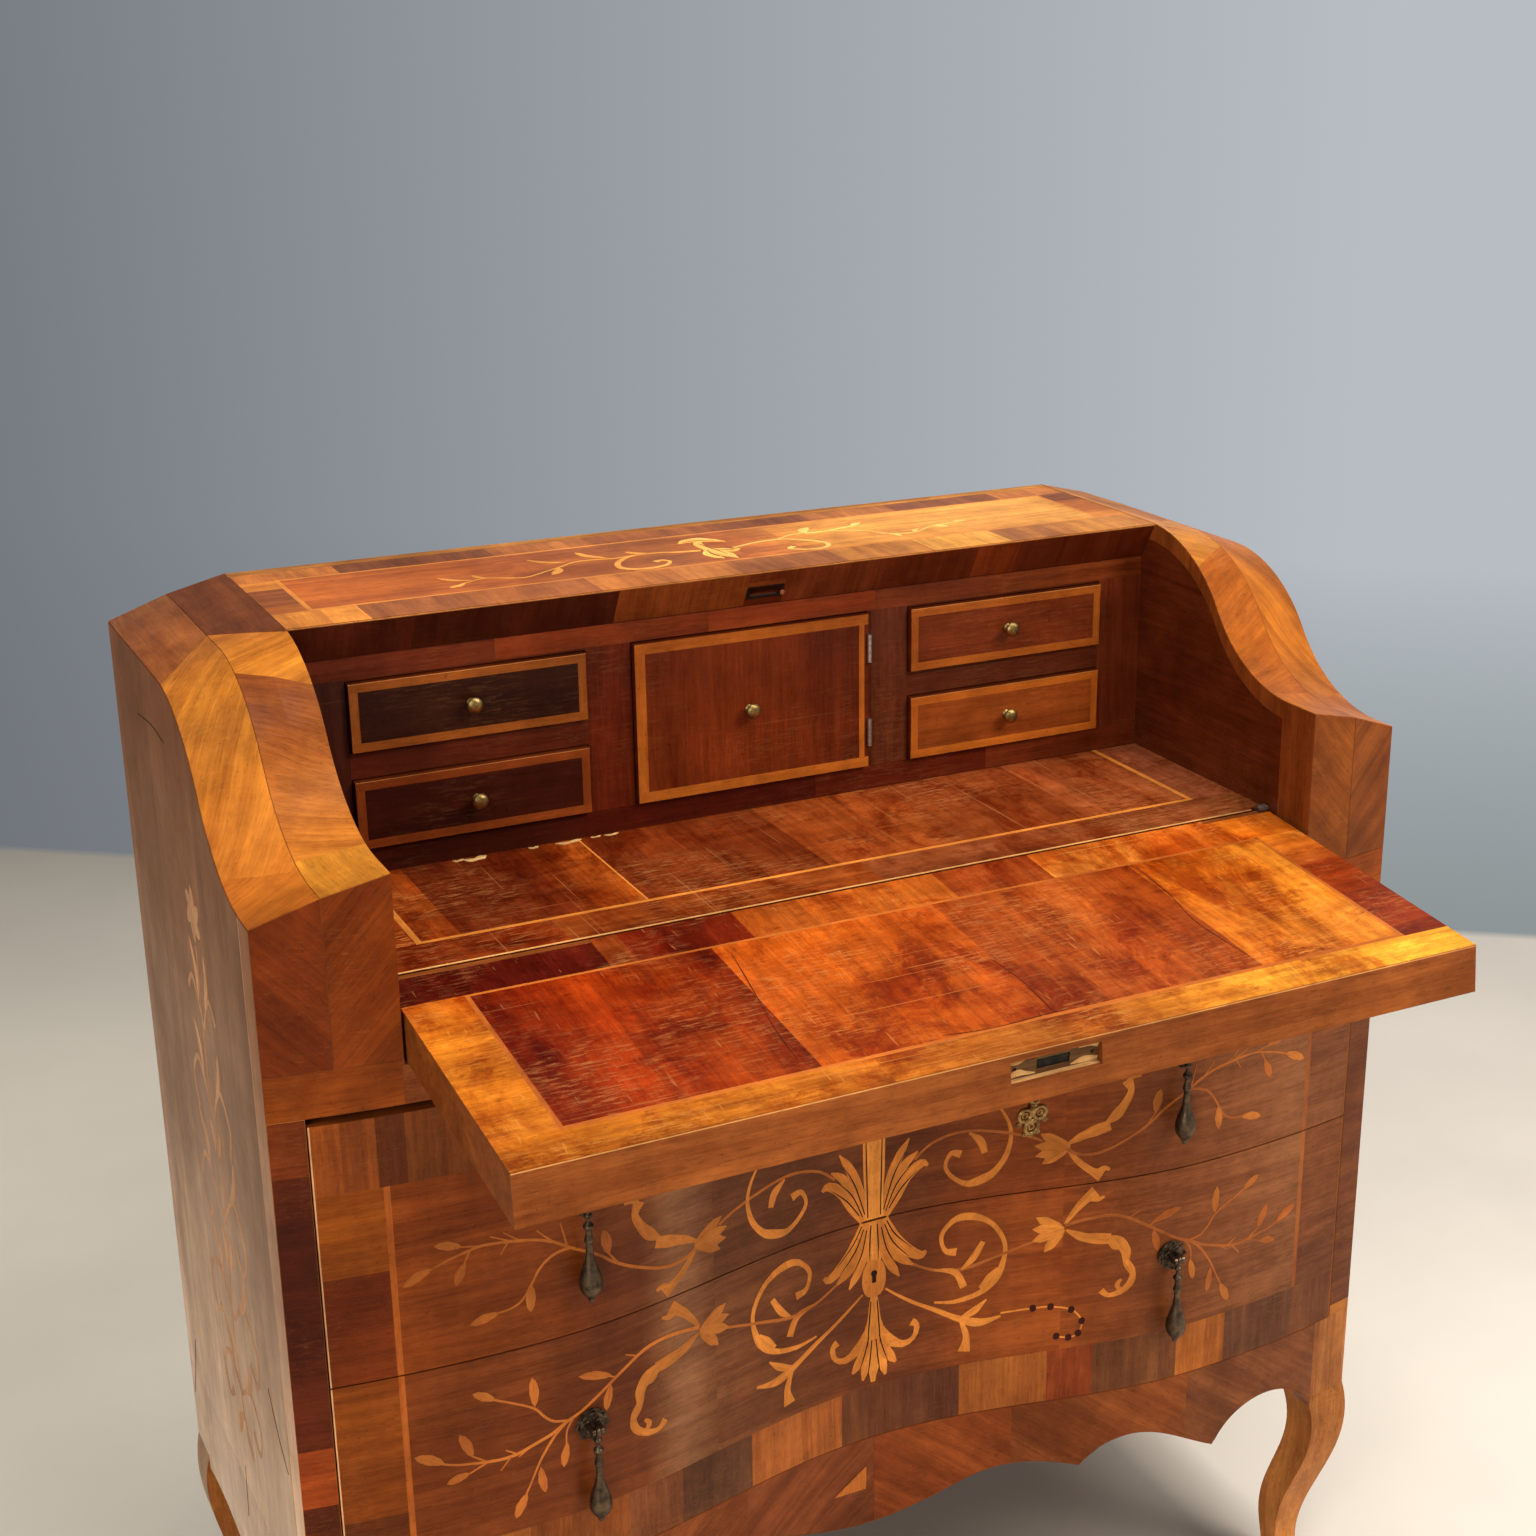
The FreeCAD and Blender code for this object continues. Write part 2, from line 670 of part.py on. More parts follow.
def hinge_leaf(side, middle):
    """Leaf let into the edge of the frame (side 1) or of the door (side -1), clear of the barrel."""
    edge = door_width / 2 + (joint_gap if side > 0 else 0)
    x0, x1 = sorted((edge, edge + side * hinge_leaf_thickness))
    low = middle - hinge_barrel_length / 2
    high = middle + hinge_barrel_length / 2
    leaf = box(x0, x1, door_pivot_y, door_pivot_y + hinge_leaf_width, low, high)
    return leaf.cut(hinge_rod(hinge_barrel_diameter + 2 * hinge_barrel_gap, low, high))


def hinge_knuckle(side, low, high):
    """Piece of the barrel with the tongue that joins it to its leaf, bored for the pin."""
    edge = door_width / 2 + (joint_gap if side > 0 else 0)
    x0, x1 = sorted((edge, edge + side * hinge_leaf_thickness))
    tongue = box(x0, x1, door_pivot_y, door_pivot_y + hinge_leaf_width, low, high)
    bore = hinge_rod(hinge_pin_diameter + 2 * hinge_running_gap, low, high)
    return hinge_rod(hinge_barrel_diameter, low, high).fuse(tongue).cut(bore)


def door_hinges_fixed():
    """Frame leaves with their lower and upper knuckles, and the pins."""
    pieces = []
    third = hinge_barrel_length / 3
    for middle in hinge_heights():
        low = middle - hinge_barrel_length / 2
        high = low + hinge_barrel_length
        lower = hinge_knuckle(1, low, low + third)
        upper = hinge_knuckle(1, high - third, high)
        pieces.append(hinge_leaf(1, middle).fuse(lower).fuse(upper).removeSplitter())
        head = hinge_rod(hinge_barrel_diameter, high, high + hinge_leaf_thickness)
        pieces.append(hinge_rod(hinge_pin_diameter, low, high).fuse(head).removeSplitter())
    return Part.makeCompound(pieces)


def door_hinges_moving():
    """Door leaves with the middle knuckle."""
    pieces = []
    half = hinge_barrel_length / 6 - hinge_knuckle_gap
    for middle in hinge_heights():
        knuckle = hinge_knuckle(-1, middle - half, middle + half)
        pieces.append(hinge_leaf(-1, middle).fuse(knuckle).removeSplitter())
    return Part.makeCompound(pieces)


def centre_door():
    """Door with seats for its hinge leaves and a hollow beside each barrel."""
    half = door_width / 2
    door = box(-half, half, small_front, small_front + small_thickness,
               bed_height + door_bottom, bed_height + door_bottom + door_height)
    for middle in hinge_heights():
        length = hinge_barrel_length / 2
        door = door.cut(box(half - hinge_leaf_thickness, half, small_front, door_pivot_y + hinge_leaf_width,
                            middle - length, middle + length))
        door = door.cut(hinge_rod(hinge_barrel_diameter + 2 * hinge_barrel_gap, middle - length,
                                  middle + length + hinge_leaf_thickness + hinge_barrel_gap))
    return door


# Long drawers

def drawer_lock_seat():
    """Depth of the flat seat of the lower drawer's lock behind the hollow middle of the front."""
    return front_y(0) + front_thickness - lock_seat_depth


def long_drawer_front(low, high):
    return serpentine_strip(-front_half, front_half, front_thickness, low + joint_gap / 2, high)


def keyhole(start, end):
    """Keyhole of the lower drawer, between two depths."""
    hole = rod(vec(0, start, keyhole_height), vec(0, 1, 0), keyhole_diameter, end - start)
    half = keyhole_slot_width / 2
    return hole.fuse(box(-half, half, start, end, keyhole_height - keyhole_drop, keyhole_height))


def lower_drawer_front():
    seat = box(-drawer_lock_width / 2, drawer_lock_width / 2, drawer_lock_seat(), reach_over,
               drawer_lock_low(), drawer_split)
    front = long_drawer_front(apron_top, drawer_split - joint_gap / 2)
    return front.cut(seat).cut(keyhole(-reach_over, reach_over))


def long_drawer_box(low, high):
    """Sides, back and bottom of a long drawer as separate boards."""
    back = board_front - long_box_back_gap
    floor = low + slide_gap
    roof = high - long_box_headroom
    inner = box_half - box_thickness
    shift = front_thickness + seam_gap
    side = serpentine_board(inner, box_half, shift, back, floor, roof)
    rear = box(-inner, inner, back - box_thickness, back, floor, roof)
    panel = serpentine_board(-inner, inner, shift, back - box_thickness, floor, floor + bottom_thickness)
    return Part.makeCompound([side, mirrored(side), rear, panel])


def drawer_lock_low():
    return drawer_split - divider_thickness / 2 - slide_gap - drawer_lock_height


def lower_drawer_lock_case():
    """Open-topped case on the back of the lower drawer front, with its key opening."""
    low = drawer_lock_low()
    high = low + drawer_lock_height
    half = drawer_lock_width / 2
    seat = drawer_lock_seat()
    case = box(-half, half, seat, seat + drawer_lock_depth, low, high)
    bolt_half = drawer_bolt_width / 2 + bolt_gap
    inside = box(-bolt_half, bolt_half, seat + lock_wall, seat + drawer_lock_depth - lock_wall,
                 high - drawer_bolt_height - bolt_gap, high)
    return case.cut(inside).cut(keyhole(seat, seat + drawer_lock_depth / 2))


def lower_drawer_lock_bolt():
    high = drawer_lock_low() + drawer_lock_height
    half = drawer_bolt_width / 2
    seat = drawer_lock_seat()
    return box(-half, half, seat + lock_wall + bolt_gap, seat + drawer_lock_depth - lock_wall - bolt_gap,
               high - drawer_bolt_height, high)


# Pendant pulls

def pull_pivot(side, height):
    return vec(side * pull_place, front_y(pull_place) - pull_pivot_reach, height)


def rosette(side, height):
    """Stepped round plate with two ears that hold a pin along X."""
    seat = front_y(pull_place)
    wide = rosette_diameter / 2
    profile = ((-rosette_thickness, wide), (rosette_thickness * 0.3, wide),
               (rosette_thickness * 0.55, wide * 0.8), (rosette_thickness * 0.8, wide * 0.55),
               (rosette_thickness, wide * 0.3))
    plate = lathe(profile, vec(side * pull_place, seat, height), vec(0, -1, 0))
    plate = plate.cut(serpentine_board(-half_width, half_width, 0, case_back, 0, top_height))
    pivot = pull_pivot(side, height)
    reach = pull_ring_width / 2 + pull_ear_gap
    for hand in (1, -1):
        x0, x1 = sorted((pivot.x + hand * reach, pivot.x + hand * (reach + pull_ear_width)))
        half = pull_ear_diameter / 2
        ear = rod(vec(x0, pivot.y, pivot.z), vec(1, 0, 0), pull_ear_diameter, pull_ear_width)
        stem = box(x0, x1, pivot.y, seat - rosette_thickness * 0.6, pivot.z - half, pivot.z + half)
        plate = plate.fuse(ear).fuse(stem)
    start = vec(pivot.x - reach - pull_ear_width, pivot.y, pivot.z)
    pin = rod(start, vec(1, 0, 0), pull_pivot_diameter, 2 * (reach + pull_ear_width))
    return plate.fuse(pin).removeSplitter()


def rosettes(height):
    return Part.makeCompound([rosette(1, height), rosette(-1, height)])


def pull_drop(side, height):
    """Pear-shaped pendant that hangs by a ring on the rosette's pin."""
    pivot = pull_pivot(side, height)
    start = vec(pivot.x - pull_ring_width / 2, pivot.y, pivot.z)
    ring = rod(start, vec(1, 0, 0), pull_ring_diameter, pull_ring_width)
    neck = drop_neck_diameter / 2
    wide = drop_diameter / 2
    top = pull_ring_diameter * 0.45
    body = drop_length - top
    profile = ((0.0, neck * 0.62), (0.1, neck * 0.6), (0.15, neck * 1.15), (0.21, neck * 0.72),
               (0.36, neck * 0.85), (0.6, wide * 0.8), (0.76, wide), (0.88, wide * 0.78),
               (0.945, wide * 0.28), (1.0, wide * 0.16))
    pear = smooth_lathe([(top + body * share, radius) for share, radius in profile], pivot, vec(0, 0, -1))
    bore = rod(start, vec(1, 0, 0), pull_pivot_diameter + 2 * pull_running_gap, pull_ring_width)
    return ring.fuse(pear).cut(bore).removeSplitter()


# Fall, lock and key, drawn in the fall's own frame: reaching along -Y from the pivot, inner face at z = 0

def turned(shape, degrees):
    shape = shape.copy()
    shape.Placement = FreeCAD.Placement(vec(0, 0, bed_height), FreeCAD.Rotation(vec(1, 0, 0), degrees))
    return shape


def opened(shape):
    """Turn a shape from the fall's own frame to its open, slightly sloping place."""
    return turned(shape, fall_droop)


def closed(shape):
    """Turn a shape from the fall's own frame to its closed place."""
    return turned(shape, math.degrees(closed_angle) - 180)


def fall_blank():
    points = [vec(-fall_half, -fall_rear_gap, 0), vec(-fall_half, -fall_length, 0),
              vec(-fall_half, -fall_length - fall_lip, -fall_thickness),
              vec(-fall_half, -fall_rear_gap - fall_rear_slope, -fall_thickness)]
    return Part.Face(Part.makePolygon(points + [points[0]])).extrude(vec(2 * fall_half, 0, 0))


def lock_box(margin, front):
    """Room of the lock case in the fall, with a margin all round, from a front plane backwards."""
    half = lock_width / 2 + margin
    high = lock_height / 2 + margin
    return box(lock_side - half, lock_side + half, -front, -lock_front + lock_depth + margin,
               -lock_centre_depth - high, -lock_centre_depth + high)


def keyway(low, high):
    """Round way for the key's shank, between two depths of the fall."""
    return rod(vec(key_side, key_y, low), vec(0, 0, 1), key_shank_diameter + 2 * key_hole_gap, high - low)


def eye_shank(diameter, length):
    slope = math.radians(eye_shank_slope)
    along = vec(0, -math.cos(slope), -math.sin(slope))
    return rod(vec(fall_half - eye_width / 2, 0, 0), along, diameter, length)


def fall_panel():
    """Drop front with notches for its pivot eyes, a bevelled free edge and a mortise for its lock."""
    panel = fall_blank()
    eye_reach = eye_diameter / 2 + eye_room
    notch = box(fall_half - eye_width - eye_room, fall_half, -eye_reach, 0, -eye_reach, 0)
    shank = eye_shank(eye_shank_diameter + 2 * shank_gap, eye_shank_length + shank_gap)
    for cutter in (notch, mirrored(notch), shank, mirrored(shank)):
        panel = panel.cut(cutter)
    half = lock_recess_width / 2
    high = lock_recess_height / 2
    recess = box(lock_side - half, lock_side + half, -fall_length - fall_thickness, -lock_front,
                 -lock_centre_depth - high, -lock_centre_depth + high)
    panel = panel.cut(recess).cut(lock_box(lock_gap, lock_front + fall_lip))
    return opened(panel.cut(keyway(-fall_thickness, -lock_centre_depth)))


def pivot_eyes():
    """Eyes on shanks that are driven into the rear edge of the fall."""
    start = vec(fall_half - eye_width, 0, 0)
    ring = rod(start, vec(1, 0, 0), eye_diameter, eye_width)
    bore = rod(start, vec(1, 0, 0), pivot_pin_diameter + 2 * pivot_running_gap, eye_width)
    eye = opened(ring.fuse(eye_shank(eye_shank_diameter, eye_shank_length)).cut(bore))
    return Part.makeCompound([eye, mirrored(eye)])


def pivot_pins():
    length = pivot_pin_seat + fall_gap + eye_width
    pin = rod(vec(fall_half - eye_width, 0, bed_height), vec(1, 0, 0), pivot_pin_diameter, length)
    return Part.makeCompound([pin, mirrored(pin)])


def fall_lock_case():
    """Lock case in the fall, open to the front for the bolt and below for the key."""
    half = bolt_width / 2 + bolt_gap
    high = lock_height / 2 - lock_wall
    inside = box(lock_side - half, lock_side + half, -lock_front, -lock_front + bolt_length + bolt_gap,
                 -lock_centre_depth - high, -lock_centre_depth + high)
    case = lock_box(0, lock_front).cut(inside)
    return opened(case.cut(keyway(-fall_thickness, -lock_centre_depth)))


def fall_lock_bolt():
    """Sliding bolt, flush with the lock's front when drawn back."""
    half = bolt_width / 2
    high = lock_height / 2 - lock_wall - bolt_gap
    return opened(box(lock_side - half, lock_side + half, -lock_front, -lock_front + bolt_length,
                      -lock_centre_depth - high, -lock_centre_depth + high))


def fall_key():
    """Key in the outer face of the fall: shank, collar and a pierced bow."""
    top = -lock_centre_depth - lock_height / 2 + lock_wall
    bow_low = -fall_thickness - key_reach
    bow_high = bow_low + key_bow_height
    middle = (bow_low + bow_high) / 2
    thick = key_bow_thickness
    key = rod(vec(key_side, key_y, bow_high), vec(0, 0, 1), key_shank_diameter, top - bow_high)
    key = key.fuse(rod(vec(key_side, key_y, bow_high), vec(0, 0, 1), key_collar_diameter, key_collar_length))
    key = key.fuse(box(key_side - thick / 2, key_side + thick / 2, key_y - thick / 2, key_y + thick / 2,
                       bow_low, bow_high))
    for across, up in ((-1, 1), (1, 1), (0, -1)):
        centre = vec(key_side + across * key_bow_width * 0.23, key_y - thick / 2,
                     middle + up * key_bow_height * 0.2)
        lobe = rod(centre, vec(0, 1, 0), key_bow_width * 0.54, thick)
        key = key.fuse(lobe.cut(rod(centre, vec(0, 1, 0), key_bow_width * 0.3, thick)))
    return opened(key.removeSplitter())


def build():
    nodes = {}
    for name, maker in (("arm", arm), ("cheek", cheek), ("side_panel", side_panel),
                        ("front_leg", front_leg), ("rear_leg", rear_leg)):
        right = maker()
        nodes[name + "_right"] = right
        nodes[name + "_left"] = mirrored(right)
    for maker in (front_apron, front_rail, upper_deck, drawer_divider, case_bottom, case_runners, back_board,
                  top_board, fascia_rail, strike_plate, writing_bed, gallery_frame, gallery_floor,
                  gallery_partitions, gallery_shelves, centre_door, door_hinges_fixed, door_hinges_moving,
                  lower_drawer_front, lower_drawer_lock_case, lower_drawer_lock_bolt, fall_panel, pivot_eyes,
                  pivot_pins, fall_lock_case, fall_lock_bolt, fall_key):
        nodes[maker.__name__] = maker()
    for place, edges in gallery_places().items():
        left, right, low, high = edges
        if place == "door":
            nodes["door_knob"] = knob(door_knob_side, (low + high) / 2)
        else:
            nodes[place + "_small_knob"] = knob((left + right) / 2, (low + high) / 2)
            nodes[place + "_small_front"] = small_drawer_front(*edges)
            nodes[place + "_small_box"] = small_drawer_box(*edges)
    nodes["upper_drawer_front"] = long_drawer_front(drawer_split, rail_bottom - upper_front_gap)
    nodes["upper_drawer_box"] = long_drawer_box(drawer_split + divider_thickness / 2, rail_bottom)
    nodes["lower_drawer_box"] = long_drawer_box(apron_top, drawer_split - divider_thickness / 2)
    for row, height in (("upper", upper_pull_height), ("lower", lower_pull_height)):
        nodes[row + "_rosettes"] = rosettes(height)
        for name, side in (("right", 1), ("left", -1)):
            nodes[row + "_drop_" + name] = pull_drop(side, height)
    return nodes


def main():
    os.makedirs("parts", exist_ok=True)
    for name, shape in build().items():
        shape = shape.copy()
        shape.translate(vec(0, -origin_y, 0))
        shape.exportStep("parts/" + name + ".step")


main()
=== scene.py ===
import math
import random

import bpy
from mathutils import Matrix, Vector

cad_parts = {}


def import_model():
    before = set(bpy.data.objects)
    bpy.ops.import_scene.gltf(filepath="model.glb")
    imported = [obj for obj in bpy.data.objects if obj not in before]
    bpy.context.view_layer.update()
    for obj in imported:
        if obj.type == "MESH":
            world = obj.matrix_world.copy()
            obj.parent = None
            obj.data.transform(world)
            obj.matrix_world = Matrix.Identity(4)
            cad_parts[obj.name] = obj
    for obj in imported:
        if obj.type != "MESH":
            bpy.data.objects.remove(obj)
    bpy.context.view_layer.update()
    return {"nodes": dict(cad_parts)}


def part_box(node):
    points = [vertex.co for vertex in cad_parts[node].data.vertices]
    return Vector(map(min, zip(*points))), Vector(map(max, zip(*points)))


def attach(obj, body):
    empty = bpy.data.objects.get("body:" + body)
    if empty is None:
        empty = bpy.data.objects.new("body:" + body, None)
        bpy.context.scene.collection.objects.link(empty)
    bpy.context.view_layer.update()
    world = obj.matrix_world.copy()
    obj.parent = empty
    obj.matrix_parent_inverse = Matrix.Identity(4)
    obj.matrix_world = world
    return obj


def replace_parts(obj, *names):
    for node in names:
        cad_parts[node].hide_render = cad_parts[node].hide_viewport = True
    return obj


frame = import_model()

random.seed(17)

# Sizes in millimetres: x from the centre line, y back from the pivot line of the fall, z from the floor
ORIGIN_Y = 55.3854          # pivot line to the middle of the footprint
HALF = 500.0                # half the width of the case
INNER = 401.8               # centre line to the inner face of an arm
MIDDLE = 450.9              # centre line to the ridge of an arm
MID_DROP = 12.0             # how far an arm drops from its inner edge to its ridge
EDGE_DROP = 29.5            # and to its outer edge
BETWEEN = 401.6             # half the width of the veneers between the arms
BED = 810.0
BED_REAR = 209.4
TOP = 1028.5
BLOCK = 912.5               # top of the front blocks at their inner edge
BACK = 392.0
BOARD_FRONT = 378.0         # front face of the back board
CREST = 62.5                # serpentine front: furthest forward, and how far it draws back at the middle
SWELL = 47.0
CREST_AT = 310.0            # centre line to its crests, and how far it draws back at the corners
END_RETURN = 19.0
OGEE_START = 200.0          # rear and front end of the curve of an arm
OGEE_END = 22.0
RAIL_TOP = 770.6
RAIL_LOW = 735.0
SPLIT = 512.6               # joint between the long drawers
APRON = 298.0               # top of the apron
POST_IN = 473.7
FRONT_HALF = 472.5          # half the width of a long drawer, of its bands and of its field
BAND_IN = 423.5
FIELD_HALF = 418.8
LEG_IN = 455.0
FALL_LENGTH = 278.69
FALL_LIP = 7.42
FALL_THICK = 38.0
FALL_EDGE = 398.8           # half the width of the veneers of the fall
DROOP = math.radians(5.57)
SMALL_FACE = 205.2          # faces of the small drawers, and of the frame round them
FRAME_FACE = 210.5
FASCIA_LOW = 995.0
FASCIA_LOW_Y = 209.5
FASCIA_TOP_Y = 190.04
KEYHOLE = 461.0
LOCK = 9.5                  # centre line to the middle of the lock of the fall, and to its key
KEY = 12.0
LOCK_SEAT = FALL_LENGTH - 3.0   # pivot line to the plate of the lock
LIFT = 0.3                  # how far veneers stand in front of the boards
INLAY = 0.5                 # and how far inlaid pieces stand
SINK = 0.6                  # thickness of a veneer, partly sunk in its board


def place(x, y, z):
    return Vector((x, y - ORIGIN_Y, z)) * 0.001


def linear(tone):
    """Linear colour of an 8-bit display colour."""
    shares = [value / 255 for value in tone]
    return tuple(s / 12.92 if s <= 0.04045 else ((s + 0.055) / 1.055) ** 2.4 for s in shares)


# Surfaces: functions of two places and of a lift off the surface, with the curves that they follow

def front_y(x):
    a = abs(x)
    if a <= CREST_AT:
        return -CREST + SWELL / 2 * (1 + math.cos(math.pi * a / CREST_AT))
    return -CREST + END_RETURN * ((a - CREST_AT) / (HALF - CREST_AT)) ** 2


def on_front(x, z, lift):
    slope = front_y(x + 0.5) - front_y(x - 0.5)
    step = lift / math.hypot(1, slope)
    return place(x + slope * step, front_y(x) - step, z)


def block_y(x):
    a = abs(x)
    low, high = (INNER, MIDDLE) if a < MIDDLE else (MIDDLE, HALF)
    share = (a - low) / (high - low)
    return front_y(low) * (1 - share) + front_y(high) * share


def on_block(x, z, lift):
    return place(x, block_y(x) - lift, z)


def arm_drop(x):
    a = abs(x)
    if a < MIDDLE:
        return MID_DROP * (a - INNER) / (MIDDLE - INNER)
    return MID_DROP + (EDGE_DROP - MID_DROP) * (a - MIDDLE) / (HALF - MIDDLE)


def ogee(y):
    """Height of an arm's inner edge: two arcs between the top and the block."""
    run = OGEE_START + OGEE_END
    rise = TOP - BLOCK
    radius = (run ** 2 + rise ** 2) / (4 * rise)
    if y >= OGEE_START:
        return TOP
    if y <= -OGEE_END:
        return BLOCK
    if y < (OGEE_START - OGEE_END) / 2:
        return BLOCK + radius - math.sqrt(radius ** 2 - (y + OGEE_END) ** 2)
    return TOP - radius + math.sqrt(radius ** 2 - (OGEE_START - y) ** 2)


def on_cap(x, y, lift):
    side = 1 if x > 0 else -1
    across = MID_DROP / (MIDDLE - INNER) if abs(x) < MIDDLE else (EDGE_DROP - MID_DROP) / (HALF - MIDDLE)
    normal = Vector((side * across, -(ogee(y + 0.5) - ogee(y - 0.5)), 1)).normalized() * lift
    return place(x + normal.x, y + normal.y, ogee(y) - arm_drop(x) + normal.z)


def level(z):
    return lambda x, y, lift: place(x, y, z + lift)


def upright(y, way=-1):
    return lambda x, z, lift: place(x, y + way * lift, z)


def beside(way):
    return lambda y, z, lift: place(way * (HALF + lift), y, z)


on_top, on_bed = level(TOP), level(BED)
on_small, on_frame, on_back = upright(SMALL_FACE), upright(FRAME_FACE), upright(BACK, 1)
on_left, on_right = beside(-1), beside(1)


def on_fascia(x, z, lift):
    share = (z - FASCIA_LOW) / (TOP - FASCIA_LOW)
    normal = Vector((0, -(TOP - FASCIA_LOW), FASCIA_TOP_Y - FASCIA_LOW_Y)).normalized() * lift
    return place(x, FASCIA_LOW_Y + share * (FASCIA_TOP_Y - FASCIA_LOW_Y) + normal.y, z + normal.z)


def own_fall(x, y, z):
    """Place in the open fall's own frame: y runs back to the pivot, z = 0 is the inner face."""
    c, s = math.cos(DROOP), math.sin(DROOP)
    return place(x, y * c - z * s, BED + y * s + z * c)


def on_fall(x, d, lift):
    return own_fall(x, -d, lift)


def under_fall(x, d, lift):
    return own_fall(x, -d, -FALL_THICK - lift)


def fall_edge(x, down, lift):
    return own_fall(x, -FALL_LENGTH - FALL_LIP * down / FALL_THICK - lift, -down)


# Shapes

def pairs(stops):
    return zip(stops, stops[1:])


def spaced(low, high, step):
    count = max(1, round((high - low) / step))
    return [low + (high - low) * i / count for i in range(count + 1)]


def clear_of(a, b, low, high):
    """Parts of a stretch that lie outside a gap."""
    return [(p, q) for p, q in ((a, min(b, low)), (max(a, high), b)) if q > p]


def straight(a, b):
    return [a, ((a[0] + b[0]) / 2, (a[1] + b[1]) / 2), b]


def curve(points, count):
    """Smooth line through points."""
    pts = [points[0]] + list(points) + [points[-1]]
    out = []
    for i in range(count + 1):
        t = i / count * (len(points) - 1)
        k = min(int(t), len(points) - 2)
        f = t - k
        out.append(tuple(0.5 * (2 * q + (r - p) * f + (2 * p - 5 * q + 4 * r - s) * f * f
                                + (3 * q - p - 3 * r + s) * f ** 3) for p, q, r, s in zip(*pts[k:k + 4])))
    return out


def blended(values, share):
    t = share * (len(values) - 1)
    k = min(int(t), len(values) - 2)
    f = t - k
    f = f * f * (3 - 2 * f)
    return values[k] * (1 - f) + values[k + 1] * f


def fade(stops, axis=0):
    """Tone that runs between stops of (place, tone) along u (axis 0) or v (axis 1)."""
    def tone(u, v):
        spot = (u, v)[axis]
        for (a, low), (b, high) in pairs(stops):
            if spot <= b:
                share = min(max((spot - a) / (b - a), 0.0), 1.0)
                return tuple(p + (q - p) * share for p, q in zip(low, high))
        return stops[-1][1]
    return tone


def mirrored(hand, u0=0, v0=0):
    """Function that moves points, and mirrors them where hand is -1."""
    return lambda points: [(u0 + hand * u, v0 + v) for u, v in points]


def added(name, data):
    """Object of the scene for a mesh, a light or a camera."""
    made = bpy.data.objects.new(name, data)
    bpy.context.scene.collection.objects.link(made)
    return made


def net(name, points, faces, materials):
    """Mesh of points and faces."""
    mesh = bpy.data.meshes.new(name)
    mesh.from_pydata(points, [], faces)
    for material in materials:
        mesh.materials.append(material)
    return mesh


